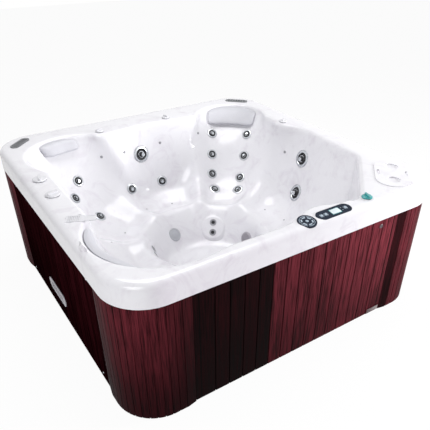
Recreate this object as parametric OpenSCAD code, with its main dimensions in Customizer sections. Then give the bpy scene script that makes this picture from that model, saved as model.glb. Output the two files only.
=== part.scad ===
/* [Tub] */
// Side of the square tub, measured over its skirt
tub_w = 2150; // [2100:10:2250]
// Height of the rim's flat top above the ground
rim_z = 868; // [850:2:890]
// Plan radius of the tub's four corners
corner_r = 240; // [210:5:270]
// Drop from the rim's top to the skirt's lower edge
skirt_drop = 133; // [120:1:145]
// Radius of the turn from the rim's top into the skirt
rim_round = 40; // [34:1:46]
// Radius of the turn from the rim's top into the opening
edge_round = 28; // [22:1:32]
// Thickness of the moulded shell with its backing
shell_t = 14; // [10:1:16]

/* [Opening] */
// Width of the rim along the right side
rim_right = 170; // [160:2:185]
// Width of the rim along the back
rim_back = 290; // [270:2:310]
// Width of the rim along the left side
rim_left = 168; // [160:2:180]
// Width of the rim along the control side
rim_front = 97; // [94:1:110]
// Rim from the far corner to its pillow wall
corner_rim_far = 226; // [215:1:240]
// Rim from the left corner to its pillow wall
corner_rim_left = 246; // [235:1:260]
// Rim from the near corner to its pillow wall
corner_rim_near = 151; // [145:1:165]
// Centre of the tub to the straight wall of the filter deck
deck_reach = 1006; // [990:2:1020]
// How far the console stands into the opening
console_bump = 78; // [70:1:84]

/* [Seats] */
// Height of the seats above the ground
seat_z = 292; // [280:1:305]
// Rise of the rounded front lip above the seats
lip_rise = 14; // [8:1:18]
// Centre of the tub to the lip of the seats
lip_reach = 440; // [425:1:450]
// Height of the footwell's floor above the ground
floor_z = 80; // [74:1:95]
// Radius of the footwell's floor
floor_reach = 315; // [300:1:325]
// Rise of the armrests between the seats
arm_rise = 80; // [60:1:90]

/* [Jets] */
// Face diameter of a small jet
small_jet_d = 79; // [72:1:84]
// Face diameter of a large jet
large_jet_d = 127; // [118:1:134]
// Body diameter of a small jet behind the shell
small_body_d = 52; // [46:1:56]
// Body diameter of a large jet behind the shell
large_body_d = 90; // [84:1:94]
// Depth of a jet body behind the shell's face
jet_depth = 74; // [66:1:84]
// Width of an air injector
injector_d = 20; // [18:1:24]
// Width of the underwater light over its ring
light_d = 100; // [90:1:112]

/* [Controls] */
// Length of the control panel
panel_l = 240; // [220:2:250]
// Width of the control panel
panel_w = 75; // [66:1:80]
// Diameter of the round second panel
aux_d = 106; // [96:1:112]
// Diameter of the large diverter knobs
diverter_d = 84; // [76:1:90]
// Diameter of the small air valve knobs
air_knob_d = 62; // [56:1:68]
// Diameter of a panel button
button_d = 17; // [14:1:19]
// Travel of a panel button
button_travel = 1.5; // [1:0.1:2]

/* [Cabinet] */
// Width of one cabinet slat
slat_w = 90; // [84:1:96]
// Width of one slat on the corner panels
corner_slat_w = 44; // [40:1:48]
// Thickness of the cabinet panels
panel_t = 18; // [14:1:20]
// Length of a corner panel along each side
corner_len = 362; // [350:1:370]
// Depth of the side panels behind the corner panels
panel_recess = 12; // [8:1:20]
// Thickness of the base pan's floor
pan_t = 12; // [8:1:14]

/* [Filter] */
// Length of the filter lid
lid_l = 396; // [370:2:410]
// Width of the filter lid
lid_w = 212; // [200:2:220]
// Diameter of the filter canister
canister_d = 180; // [170:2:190]
// Height of the filter canister
canister_h = 440; // [400:5:460]

/* [Pillows] */
// Height of a pillow down the wall
pillow_h = 104; // [90:1:112]
// Thickness of a pillow at its crown
pillow_t = 62; // [50:1:70]

/* [Hidden] */

half = tub_w / 2;
skirt_z = rim_z - skirt_drop;
edge_z = rim_z - 20;
lip_z = seat_z + lip_rise;
foot_z = seat_z + 22;
// Centre of the tub to the outer edge of a corner
corner_out = half * sqrt(2) - corner_r * (sqrt(2) - 1);
deck_a = 315;
// Clearance of a turning stem in its bore, and of parts that seat on each other
run_gap = 0.05;
seat_gap = 0.3;

// Each lobe of the opening: direction, reach and radius at the seat, reach and radius at the rim,
// and how steeply its back rest rises
lobes = [
    [3, 690, 400, half - 160, 560, 0.60],
    [44, 440, 280, corner_out - corner_rim_far, 262, 0.86],
    [91, 585, 380, half - 275, 520, 0.36],
    [139, 660, 360, corner_out - corner_rim_left, 330, 0.62],
    [224, 760, 300, corner_out - corner_rim_near, 380, 0.55]
];
// Opening toward right, back, left and front, at the seats and at the rim
foot_open = [470, 430, 600, 560];
top_open = [half - rim_right - 10, half - rim_back - 10, half - rim_left - 2, half - rim_front + 2];
squareness = 5;
open_power = 0.45;
blend = 28;
deck_lean = 70;
console_a = 279;
// Direction, width and share of the full rise of each arm rest
arms = [[20, 8, 1], [62, 7, 1], [118, 8, 0.75], [168, 8, 0.55], [205, 9, 0.55], [248, 9, 0.55],
    [292, 9, 0.55]];
// The small bump that carries the air valve on the right rim
valve_bump_a = 17;
valve_bump = 50;

function total(v) = v * [for (x = v) 1];
function unit(v) = v / norm(v);
function mix(p, q, t) = p + (q - p) * t;
function gap_deg(a, b) = (a - b + 900) % 360 - 180;
function bell(a, mid, width) = exp(-pow(gap_deg(a, mid) / width, 2));

// Distance from the centre to the far side of a circle whose centre lies d out at angle mid
function exit_reach(a, mid, d, r) =
    let (q = r * r - pow(d * sin(a - mid), 2))
    d > r && (q <= 0 || cos(a - mid) <= 0) ? 0 : d * cos(a - mid) + sqrt(max(0, q));

// Distance from the centre to a square with rounded corners
function square_reach(a, side, r) =
    let (c = abs(cos(a)), s = abs(sin(a)), k = side - r)
    s * side <= c * k ? side / c
    : c * side <= s * k ? side / s
    : (c + s) * k + sqrt(max(0, r * r - pow((c - s) * k, 2)));

function open_reach(a, h) =
    let (t = pow(h, open_power),
         ax = mix(foot_open[cos(a) >= 0 ? 0 : 2], top_open[cos(a) >= 0 ? 0 : 2], t),
         ay = mix(foot_open[sin(a) >= 0 ? 1 : 3], top_open[sin(a) >= 0 ? 1 : 3], t))
    pow(pow(abs(cos(a) / ax), squareness) + pow(abs(sin(a) / ay), squareness), -1 / squareness);

function lobe_reach(a, h, lobe) =
    let (t = pow(h, lobe[5]), r = mix(lobe[2], lobe[4], t), reach = mix(lobe[1], lobe[3], t))
    exit_reach(a, lobe[0], reach - r, r);

function soft_max(v, k) = let (m = max(v)) m + k * ln(total([for (x = v) exp((x - m) / k)]));
function soft_min(v, k) = -soft_max(-v, k);

// The wall of the opening at height share h, from the seats (0) to the rim (1)
function wall_reach(a, h) =
    let (raw = soft_max(concat([open_reach(a, h)], [for (l = lobes) lobe_reach(a, h, l)]), blend),
         cut = raw - console_bump * bell(a, console_a, 9) * h * h
             - valve_bump * bell(a, valve_bump_a, 6.5) * pow(h, 3),
         c = cos(a - deck_a))
    c > 0.2 ? soft_min([cut, (deck_reach - deck_lean * (1 - h)) / c], blend / 2) : cut;

function arm_lift(a) = arm_rise * total([for (m = arms) m[2] * bell(a, m[0], m[1])]);
function lip_line(a) = exit_reach(a, 262, 45, lip_reach) + 25 * bell(a, 18, 14) + 25 * bell(a, 66, 12);
function floor_line(a) = exit_reach(a, 268, 130, floor_reach);

// Reach and height on the wall, and on the slope from the lip down to the floor
function wall_point(a, h) =
    [wall_reach(a, h), mix(foot_z, edge_z, h) + arm_lift(a) * pow(1 - h, 1.5)];
function slope_point(a, t) =
    mix([lip_line(a) - 28, lip_z - 18 + arm_lift(a) * 0.25], [floor_line(a) + 14, floor_z + 16], t);

wall_steps = [1, 0.93, 0.84, 0.7, 0.54, 0.38, 0.22, 0.09, 0];
wall_first = 6;
wall_last = wall_first + len(wall_steps) - 1;
ring_last = wall_last + 8;
side_count = 68;

// Reach and height of ring k, counted from the skirt in to the floor's centre
function ring_point(a, k) =
    let (out = square_reach(a, half, corner_r))
    k == 0 ? [out, skirt_z]
    : k == 1 ? [out, rim_z - rim_round]
    : k == 2 ? [out - rim_round * 0.29, rim_z - rim_round * 0.29]
    : k == 3 ? [out - rim_round, rim_z]
    : k == 4 ? [wall_reach(a, 1) + edge_round, rim_z]
    : k == 5 ? [wall_reach(a, 1) + edge_round * 0.29, rim_z - 6]
    : k <= wall_last ? wall_point(a, wall_steps[k - wall_first])
    : inner_point(a, k - wall_last);

function inner_point(a, i) =
    let (foot = wall_reach(a, 0), lip = lip_line(a), lift = arm_lift(a))
    i == 1 ? [mix(foot, lip, 0.3), seat_z + lift * 0.9]
    : i == 2 ? [mix(foot, lip, 0.7), seat_z + 6 + lift * 0.6]
    : i == 3 ? [lip, lip_z + lift * 0.35]
    : i == 4 ? slope_point(a, 0)
    : i == 5 ? slope_point(a, 0.6)
    : i == 6 ? slope_point(a, 1)
    : i == 7 ? [floor_line(a) - 26, floor_z]
    : [60, floor_z - 6];

// The same ring on the hidden face, one wall thickness behind
function back_point(a, k) =
    let (p = ring_point(a, k),
         d = unit(ring_point(a, min(k + 1, ring_last)) - ring_point(a, max(k - 1, 0))),
         n = k == 0 ? [1, 0] : k == ring_last ? [0, 1] : [d[1], -d[0]])
    p - n * shell_t;

// Directions crowd toward the corners on the outer rings
function ring_angle(j, k) =
    let (quarter = side_count / 4, q = floor(j / quarter), u = 2 * (j % quarter) / quarter - 1,
         p = 1 + 0.6 * (1 - k / ring_last))
    90 * q + 45 * (1 + sign(u) * pow(abs(u), p));

function polar(a, p) = [p[0] * cos(a), p[0] * sin(a), p[1]];

// Frame whose Z leaves the surface toward the water, X level and Y up the surface
function frame_at(p, du, dv) =
    let (n = unit(cross(du, dv)), z = n[2] < 0 ? -n : n, x = unit(cross([0, 0, 1], z)), y = cross(z, x))
    [[x[0], y[0], z[0], p[0]], [x[1], y[1], z[1], p[1]], [x[2], y[2], z[2], p[2]], [0, 0, 0, 1]];
function wall_frame(a, h) =
    frame_at(polar(a, wall_point(a, h)),
        polar(a + 1, wall_point(a + 1, h)) - polar(a - 1, wall_point(a - 1, h)),
        polar(a, wall_point(a, h + 0.03)) - polar(a, wall_point(a, h - 0.03)));
function slope_frame(a, t) =
    frame_at(polar(a, slope_point(a, t)),
        polar(a + 2, slope_point(a + 2, t)) - polar(a - 2, slope_point(a - 2, t)),
        polar(a, slope_point(a, t - 0.1)) - polar(a, slope_point(a, t + 0.1)));

// Direction and height share of every wall jet, small or large
far_jets = [[53.5, 0.70], [53, 0.45], [52.5, 0.20], [50, 0.035], [36.4, 0.71], [35.5, 0.44], [34.8, 0.17],
    [33.5, 0.04]];
right_jets = [[358.6, 0.67], [353.5, 0.24]];
back_jets = [[96.4, 0.64], [109.3, 0.21], [86.3, 0.20]];
left_jets = [[129.7, 0.48], [137.6, 0.35], [136.3, 0.08]];
small_jets = concat(far_jets, [back_jets[1], back_jets[2]], left_jets);
large_jets = concat(right_jets, [back_jets[0]]);
pad_depth = 2;

module small_site(j) multmatrix(wall_frame(j[0], j[1])) translate([0, 0, -pad_depth]) children();
module each_small() for (j = small_jets) small_site(j) children();
module each_large() for (j = large_jets) small_site(j) children();

// The pair of foot jets on the left slope; two more sit in the dome under the far seat
foot_sites = [[169, 0.24], [179, 0.26]];
light_site = [110.3, 0.56];
dome_site = [43.9, 0.57];
suction_site = [351.2, 0.66];
injector_sites = [[117, 0.70], [107, 0.74], [83.5, 0.74], [60.5, 0.74], [10.6, 0.66]];

module at_slope(s) multmatrix(slope_frame(s[0], s[1])) children();

// The console is a flat pad on the control side, tipped a little to the outside
console_x = 160;
console_y = -(half - 58);
console_tip = 8;
console_l = 470;
console_w = 100;
module at_console() translate([console_x, console_y, rim_z - 3]) rotate([console_tip, 0, 0]) children();
panel_x = 40;
aux_x = -150;

// Places on the rim: diverters on the left, air valves at the back and right, the lit knob
left_knobs = [[-(half - 90), 0], [-(half - 90), 240]];
back_knobs = [[-365, half - 235], [190, half - 225]];
right_knob = [half - 168, 272];
lit_knob = [470, -(half - 75)];
small_knobs = concat(back_knobs, [right_knob], [lit_knob]);
valve_body_share = 0.62;

lid_u = corner_out - 215;
lid_at = [lid_u / sqrt(2), -lid_u / sqrt(2)];
speaker_u = corner_out - 122;
fall_at = [-(half - 92), -334];

module stadium(l, w, h, f = 40) linear_extrude(h) {
    square([l - w, w], center = true);
    for (s = [-1, 1]) translate([s * (l - w) / 2, 0]) circle(d = w, $fn = f);
}

module shell_form() {
    points = concat(
        [for (k = [0:ring_last]) for (j = [0:side_count - 1])
            let (a = ring_angle(j, k)) polar(a, ring_point(a, k))],
        [[0, 0, floor_z - 6]],
        [for (k = [0:ring_last]) for (j = [0:side_count - 1])
            let (a = ring_angle(j, k)) polar(a, back_point(a, k))],
        [[0, 0, floor_z - 6 - shell_t]]);
    face_n = (ring_last + 1) * side_count + 1;
    function at(side, j, k) = side * face_n + k * side_count + j % side_count;
    faces = concat(
        [for (k = [0:ring_last - 1]) for (j = [0:side_count - 1])
            each [[at(0, j, k), at(0, j, k + 1), at(0, j + 1, k + 1)],
                  [at(0, j, k), at(0, j + 1, k + 1), at(0, j + 1, k)]]],
        [for (j = [0:side_count - 1]) [at(0, j, ring_last), face_n - 1, at(0, j + 1, ring_last)]],
        [for (k = [0:ring_last - 1]) for (j = [0:side_count - 1])
            each [[at(1, j, k), at(1, j + 1, k + 1), at(1, j, k + 1)],
                  [at(1, j, k), at(1, j + 1, k), at(1, j + 1, k + 1)]]],
        [for (j = [0:side_count - 1]) [at(1, j, ring_last), at(1, j + 1, ring_last), 2 * face_n - 1]],
        [for (j = [0:side_count - 1])
            each [[at(0, j, 0), at(0, j + 1, 0), at(1, j + 1, 0)],
                  [at(0, j, 0), at(1, j + 1, 0), at(1, j, 0)]]]);
    polyhedron(points = points, faces = faces);
}

// A seat cut square to the jet's axis, flared so that the wall runs smoothly into it
module pad_cut(d) hull() {
    cylinder(d = d + 3, h = 0.1, $fn = 16);
    translate([0, 0, 34]) cylinder(d = d + 26, h = 0.1, $fn = 16);
}
module pad_boss(d) translate([0, 0, -shell_t - 5]) cylinder(d = d + 20, h = shell_t + 4, $fn = 6);
// A hole whose flats clear a round body of diameter d
module body_hole(d, f = 12) translate([0, 0, -shell_t - 30])
    cylinder(d = (d + 2 * seat_gap) / cos(180 / f), h = shell_t + 60, $fn = f);

module shell() color("white") difference() {
    union() {
        shell_form();
        each_small() pad_boss(small_body_d);
        each_large() pad_boss(large_body_d);
        at_console() console_pad();
        at_slope(dome_site) foot_dome();
        for (s = [light_site, suction_site]) at_slope(s) pad_boss(light_d);
        for (s = foot_sites) at_slope(s) pad_boss(foot_jet_d);
    }
    each_small() {
        pad_cut(small_jet_d);
        body_hole(small_body_d);
    }
    each_large() {
        pad_cut(large_jet_d);
        body_hole(large_body_d);
    }
    for (s = injector_sites) multmatrix(wall_frame(s[0], s[1])) body_hole(injector_d, 8);
    for (s = [light_site, suction_site]) at_slope(s) {
        translate([0, 0, -pad_depth]) cylinder(d = light_d + 4, h = 40, $fn = 20);
        body_hole(light_d * 0.72);
    }
    each_foot_jet() foot_jet_cut();
    at_console() console_cuts();
    for (p = small_knobs) translate([p[0], p[1], rim_z]) body_hole(air_knob_d * valve_body_share);
    for (p = left_knobs) translate([p[0], p[1], rim_z]) body_hole(diverter_d * valve_body_share);
    at_lid() translate([0, 0, -shell_t - 4]) stadium(lid_l - 2 * lid_seat, lid_w - 2 * lid_seat, 40, 24);
    at_lid() translate([0, 0, -lid_step]) stadium(lid_l + 2 * lid_gap, lid_w + 2 * lid_gap, 40, 28);
    for (a = [45, 135]) rotate([0, 0, a]) translate([speaker_u, 0, rim_z]) {
        translate([0, 0, -4]) rotate([0, 0, 90]) stadium(speaker_l + 1, speaker_w + 1, 30, 20);
        translate([0, 0, -shell_t - 4]) rotate([0, 0, 90]) stadium(speaker_l - 12, speaker_w - 12, 30, 16);
    }
    for (p = pillows) for (s = [-1, 1]) pillow_pin(p, s, pillow_pin_d + 1, pin_l + 1);
    at_fall() translate([0, 0, -shell_t - 4]) fall_slot(6);
    at_fall() translate([0, 0, -3]) fall_slot(-1);
}

foot_jet_d = 52;
dome_reach = 114;
dome_h = 14;
dome_pitch = 78;
module foot_dome() rotate_extrude($fn = 28) polygon([
    [0, -shell_t], [dome_reach, -shell_t], [dome_reach, -3], [dome_reach - 16, 6], [dome_reach - 36, dome_h],
    [0, dome_h]]);
module each_foot_jet() {
    for (s = foot_sites) at_slope(s) translate([0, 0, -pad_depth]) children();
    for (y = [-1, 1]) at_slope(dome_site) translate([0, y * dome_pitch / 2, dome_h - pad_depth]) children();
}
module foot_jet_cut() {
    cylinder(d = foot_jet_d + 3, h = 40, $fn = 16);
    body_hole(foot_jet_d * 0.6);
}

module console_pad() hull() {
    for (x = [-1, 1]) for (z = [-8, 0]) translate([x * (console_l / 2 - 46), 0, z])
        cylinder(d = console_w - (z == 0 ? 8 : 0), h = 0.1, $fn = 24);
}
console_sink = 3;
module console_cuts() {
    translate([panel_x, 0, -console_sink]) stadium(panel_l + 1, panel_w + 1, 30, 24);
    translate([panel_x, 0, -shell_t - 20]) stadium(panel_l - 14, panel_w - 14, 60, 16);
    translate([aux_x, 0, -console_sink]) cylinder(d = aux_d + 1, h = 30, $fn = 28);
    translate([aux_x, 0, -shell_t - 20]) cylinder(d = aux_d - 14, h = 60, $fn = 16);
}

// Cabinet: a base pan, a frame that carries the rim, panels on each side and corner panels
cab_in = 3;
cab_out = half - cab_in;
side_face = cab_out - panel_recess;
// Side panels seat on the base pan's lip and on the frame's top rail
pan_side = side_face - panel_t - seat_gap;
pan_wall = 4;
pan_corner = 180;
frame_out = pan_side - pan_wall;
stud = 44;
pan_lip = 46;

module round_square(side, r) hull() for (x = [-1, 1]) for (y = [-1, 1])
    translate([x * (side - r), y * (side - r)]) circle(r = r, $fn = 48);
module square_plate(side, r, h) linear_extrude(h) {
    square([2 * side, 2 * (side - r)], center = true);
    square([2 * (side - r), 2 * side], center = true);
    for (x = [-1, 1]) for (y = [-1, 1]) translate([x * (side - r), y * (side - r)]) circle(r = r, $fn = 64);
}

module base_pan() color("dimgray") {
    difference() {
        square_plate(pan_side, pan_corner, pan_t + pan_lip);
        translate([0, 0, pan_t]) square_plate(frame_out, pan_corner - pan_wall, pan_lip + 1);
        // Way in for the supply conduit
        translate([conduit_at[0], conduit_at[1], -1]) cylinder(d = conduit_d, h = pan_t + 2, $fn = 32);
    }
    translate([0, 0, pan_t]) cylinder(r = 52, h = floor_z - 6 - shell_t - pan_t - seat_gap, $fn = 40);
}
conduit_d = 34;
conduit_at = [-520, -520];

ledger_t = 18;
rail_h = 60;
// Blocks that carry the rim: side (front, right, back, left) and place along it
rim_blocks = [[1, -300], [1, 560], [2, -600], [2, -30], [2, 560], [3, -540], [3, -150], [3, 120]];
rail_end = frame_out - pan_corner;
module frame() color("burlywood") difference() {
    frame_timber();
    // Relief for the deep seat moulding at the near corner
    near = lobes[4];
    rotate([0, 0, near[0]]) translate([near[3] - near[4], 0, skirt_z - rail_h - 1])
        cylinder(r = near[4] + shell_t + 12, h = rail_h + ledger_t + 2, $fn = 96);
}
module frame_timber() {
    rail_top = skirt_z - seat_gap;
    under_rim = rim_z - shell_t - seat_gap;
    for (q = [0:3]) rotate([0, 0, 90 * q]) {
        translate([-rail_end, -frame_out, pan_t]) cube([2 * rail_end, stud, stud]);
        translate([-rail_end, -pan_side, rail_top - rail_h])
            cube([2 * rail_end, stud + pan_wall, rail_h]);
        for (x = [-1, -0.52, 0.52, 1])
            translate([x * (rail_end - stud) - stud / 2, -frame_out, pan_t])
                cube([stud, stud, rail_top - pan_t]);
    }
    for (b = rim_blocks) rotate([0, 0, 90 * b[0]])
        translate([b[1], -(half - rim_round - 1), rail_top]) cube([60, 26, under_rim - rail_top]);
    difference() {
        translate([0, 0, rail_top]) square_plate(half - shell_t - 6, corner_r - shell_t - 6, ledger_t);
        translate([0, 0, rail_top - 1]) square_plate(frame_out - 22, corner_r - 80, ledger_t + 2);
    }
}

panel_low = 6;
panel_high = skirt_z - 2 * seat_gap;
groove = 5;
side_half = cab_out - corner_len - 2;
// One straight side panel, standing at the front, with a groove between slats
module side_panel() difference() {
    translate([-side_half, -side_face, panel_low])
        cube([2 * side_half, panel_t, panel_high - panel_low]);
    for (i = [-floor(side_half / slat_w):floor(side_half / slat_w) - 1])
        translate([(i + 0.5) * slat_w - groove / 2, -side_face - 1, panel_low - 1])
            cube([groove, groove + 1, panel_high - panel_low + 2]);
}
drain_x = 648;
drain_w = 110;
drain_h = 38;
lock_x = 568;
lock_z = skirt_z - 52;
lock_d = 26;
module front_panel() color("#7a2f38") difference() {
    union() {
        side_panel();
        // Raised cover over the drain valve
        translate([drain_x - drain_w / 2, -side_face - 3, panel_low]) cube([drain_w, 5, drain_h]);
    }
    translate([lock_x, -side_face - 1, lock_z]) rotate([-90, 0, 0])
        cylinder(d = lock_d - 8 + 2 * run_gap, h = panel_t + 2, $fn = 32);
}
module back_panel() color("#7a2f38") rotate([0, 0, 180]) side_panel();
module right_panel() color("#7a2f38") rotate([0, 0, 90]) side_panel();
module left_panel() color("#7a2f38") rotate([0, 0, 270]) difference() {
    side_panel();
    at_vent() stadium(vent_l - 30 + 1, vent_h - 30 + 1, 40);
}

corner_ramp = 62;
// A corner panel wraps the rounded corner and turns in behind the ends of the side panels
module corner_panel() difference() {
    union() {
        intersection() {
            difference() {
                square_plate(cab_out, corner_r - cab_in, panel_high);
                translate([0, 0, -1]) square_plate(cab_out - panel_t, corner_r - cab_in - panel_t, panel_high + 2);
            }
            translate([-cab_out - 1, -cab_out - 1, -1]) cube([corner_len + 1, corner_len + 1, panel_high + 2]);
        }
        translate([-cab_out + corner_len - 12, -cab_out, 0]) cube([12, panel_recess + 6, panel_high]);
        translate([-cab_out, -cab_out + corner_len - 12, 0]) cube([panel_recess + 6, 12, panel_high]);
    }
    // The first strip at each end slopes back to the side panel's face
    for (m = [0, 1]) mirror([m, -m, 0]) translate([-cab_out + corner_len, -cab_out, -1])
        linear_extrude(panel_high + 2) polygon([[-corner_ramp, 0], [-corner_ramp, -1], [1, -1],
            [1, panel_recess * (1 + 1 / corner_ramp)]]);
    // Only the ends stand on the ground
    translate([-cab_out - 1, -cab_out - 1, -1]) cube([corner_len - 59, corner_len - 59, 4]);
    for (i = [0, 1]) {
        translate([-cab_out + corner_len - corner_ramp - i * corner_slat_w, -cab_out - 1, -1]) corner_groove();
        translate([-cab_out - 1, -cab_out + corner_len - corner_ramp - i * corner_slat_w, -1]) corner_groove();
    }
    // Grooves round the curve
    turn = corner_r - cab_in;
    curve_n = floor(turn * PI / 2 / corner_slat_w);
    for (i = [0:curve_n]) translate([-cab_out + turn, -cab_out + turn, -1])
        rotate([0, 0, 180 + 90 * (i + 0.5) / (curve_n + 1)]) translate([turn - 4, -2, 0])
            cube([8, 4, panel_high + 2]);
}
module corner_groove() cube([4, 5, panel_high + 2]);
module corner_near() color("#6a2730") corner_panel();
module corner_right() color("#6a2730") rotate([0, 0, 90]) corner_panel();
module corner_far() color("#6a2730") rotate([0, 0, 180]) corner_panel();
module corner_left() color("#6a2730") rotate([0, 0, 270]) corner_panel();

screw_d = 10;
module panel_screws() color("silver") for (q = [0:3]) rotate([0, 0, 90 * q])
    for (x = q == 0 ? [] : [-0.5, 0.5]) for (z = [panel_low + 40, panel_high - 40])
        translate([round(2 * side_half / slat_w * x * 0.9) * slat_w, -side_face, z]) rotate([90, 0, 0]) screw();
module screw() difference() {
    rotate_extrude($fn = 24) polygon([[0, 0], [screw_d / 2, 0], [screw_d / 2 - 1, 1.6], [0, 2.6]]);
    for (a = [0, 90]) rotate([0, 0, a]) translate([-2.2, -0.5, 1.4]) cube([4.4, 1, 2]);
}

// Quarter turn lock in the access panel
module panel_lock() color("silver") translate([lock_x, -side_face, lock_z]) rotate([90, 0, 0]) difference() {
    union() {
        translate([0, 0, -panel_t + 1]) cylinder(d = lock_d - 8, h = panel_t, $fn = 32);
        translate([0, 0, seat_gap]) rotate_extrude($fn = 40) polygon([[0, 0], [lock_d / 2, 0],
            [lock_d / 2, 2], [lock_d / 2 - 2, 4], [lock_d / 2 - 5, 4], [lock_d / 2 - 6, 2.4], [0, 2.4]]);
    }
    translate([-1, -4, 0.8]) cube([2, 8, 4]);
}

vent_l = 312;
vent_h = 84;
module at_vent() translate([-75, -side_face, 172]) rotate([90, 0, 0]) translate([0, 0, -panel_t - 1]) children();
// The louvred vent low on the left side
module cabinet_vents() color("lightgray") {
    rotate([0, 0, 270]) at_vent() difference() {
        union() {
            translate([0, 0, 4]) stadium(vent_l - 30, vent_h - 30, panel_t - 3);
            translate([0, 0, panel_t + 1]) stadium(vent_l, vent_h, 4);
        }
        for (i = [-1:1]) translate([0, i * 17, -1]) stadium(vent_l - 80, 8, panel_t + 12);
    }
}
blower_at = [95 - rail_end, 236 - frame_out];
module blower() color("black") translate([blower_at[0], blower_at[1], pan_t]) {
    cylinder(d = 150, h = 20, $fn = 40);
    translate([0, 0, 20]) cylinder(d = 190, h = 95, $fn = 48);
    translate([0, 0, 115]) cylinder(d = 120, h = 60, $fn = 40);
    translate([60, 0, 67]) rotate([0, 90, 0]) cylinder(d = 50, h = 110, $fn = 32);
}

pump_at = [380, 246 - frame_out];
pump_z = pan_t + 92;
module pump() color("#333333") translate([pump_at[0], pump_at[1], 0]) {
    translate([-150, 0, pump_z]) rotate([0, 90, 0]) cylinder(d = 146, h = 250, $fn = 48);
    for (i = [0:5]) translate([-130 + 38 * i, 0, pump_z]) rotate([0, 90, 0]) cylinder(d = 158, h = 10, $fn = 48);
    translate([100, 0, pump_z]) rotate([0, 90, 0]) cylinder(d = 170, h = 90, $fn = 48);
    translate([190, 0, pump_z]) rotate([0, 90, 0]) cylinder(d = 60, h = 40, $fn = 32);
    translate([145, 0, pump_z + 60]) cylinder(d = 60, h = 60, $fn = 32);
    translate([-120, -60, pan_t]) cube([200, 120, 30]);
    translate([-110, -20, pan_t + 25]) cube([30, 40, 20]);
    translate([40, -20, pan_t + 25]) cube([30, 40, 20]);
}

// Control box with the heater tube along its foot
spa_at = [-420, 136 - frame_out];
module spa_pack() color("silver") translate([spa_at[0], spa_at[1], pan_t]) {
    translate([0, 0, 90]) cube([300, 110, 150]);
    for (x = [20, 260]) translate([x, 10, 0]) cube([20, 90, 91]);
    translate([-50, 55, 45]) rotate([0, 90, 0]) cylinder(d = 70, h = 400, $fn = 40);
}

tray_h = 52;
// Oval tray under the deck with the round canister below it
module filter_housing() color("whitesmoke") translate([lid_at[0], lid_at[1], rim_z - shell_t - seat_gap])
    difference() {
        union() {
            translate([0, 0, -canister_h]) cylinder(d = canister_d, h = canister_h - tray_h + 2, $fn = 64);
            rotate([0, 0, 45]) translate([0, 0, -tray_h]) stadium(lid_l + 10, lid_w + 10, tray_h);
        }
        rotate([0, 0, 45]) translate([0, 0, -tray_h + 4]) stadium(lid_l + 2, lid_w + 2, tray_h);
        translate([0, 0, 6 - canister_h]) cylinder(d = canister_d - 10, h = canister_h, $fn = 64);
        translate([0, 0, -1 - canister_h]) cylinder(d = 44, h = 10, $fn = 32);
    }

cart_gap = 14;
module filter_cartridge() color("aliceblue")
    translate([lid_at[0], lid_at[1], rim_z - shell_t - canister_h + 6]) {
        d = canister_d - 10 - 2 * cart_gap;
        n = 36;
        linear_extrude(canister_h - 120) difference() {
            polygon([for (i = [0:2 * n - 1]) let (r = d / 2 - (i % 2 == 0 ? 3 : 13))
                [r * cos(180 * i / n), r * sin(180 * i / n)]]);
            circle(d = 50, $fn = 40);
        }
        for (z = [0, canister_h - 136]) translate([0, 0, z]) difference() {
            cylinder(d = d, h = 16, $fn = 64);
            translate([0, 0, -1]) cylinder(d = 48, h = 20, $fn = 40);
        }
    }

lid_seat = 9;
lid_step = 6;
lid_gap = 1;
module at_lid() translate([lid_at[0], lid_at[1], rim_z]) rotate([0, 0, 45]) children();
cup_d = 84;
// The lid drops into a step in the deck, and holds two cups
module filter_lid() color("white") at_lid() difference() {
    union() {
        translate([0, 0, seat_gap - lid_step]) stadium(lid_l, lid_w, lid_step + 3 - seat_gap);
        for (s = [-1, 1]) translate([s * 102, 0, -30]) cylinder(d = cup_d + 6, h = 30, $fn = 48);
    }
    for (s = [-1, 1]) translate([s * 102, 0, -26]) cylinder(d = cup_d, h = 40, $fn = 48);
    for (s = [-1, 1]) translate([0, s * (lid_w / 2 - 22), -lid_step - 1]) stadium(70, 14, 20);
}

pipe_d = 43;
module pipe_from(p, q) translate(p) rotate([0, acos((q[2] - p[2]) / norm(q - p)), atan2(q[1] - p[1], q[0] - p[0])])
    cylinder(d = pipe_d, h = norm(q - p), $fn = 32);
module pipe_line(points) {
    for (i = [0:len(points) - 2]) pipe_from(points[i], points[i + 1]);
    for (i = [1:len(points) - 2]) translate(points[i]) sphere(d = pipe_d + 7, $fn = 32);
}
// Suction from the canister to the pump, and the pump's outlet down to the heater tube
module plumbing() color("whitesmoke") {
    can_low = rim_z - shell_t - seat_gap - canister_h;
    suck = [pump_at[0] + 230 + seat_gap, pump_at[1], pump_z];
    push = [pump_at[0] + 145, pump_at[1], pump_z + 120 + seat_gap];
    heat = [spa_at[0] + 350 + seat_gap, spa_at[1] + 55, pan_t + 45];
    pipe_line([[lid_at[0], lid_at[1], can_low + 5], [lid_at[0], lid_at[1], pump_z],
        [suck[0] + 50, suck[1], pump_z], suck]);
    pipe_line([push, push + [0, 0, 40], [heat[0] + 60, push[1], push[2] + 40],
        [heat[0] + 60, heat[1], heat[2]], heat]);
}

pillow_pin_d = 14;
pin_l = 20;
// Direction, half width in degrees and height of each pillow on the wall
pillows = [[45, 10.5, pillow_h], [129, 6.2, pillow_h * 0.8], [213.8, 10.7, pillow_h]];
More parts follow.
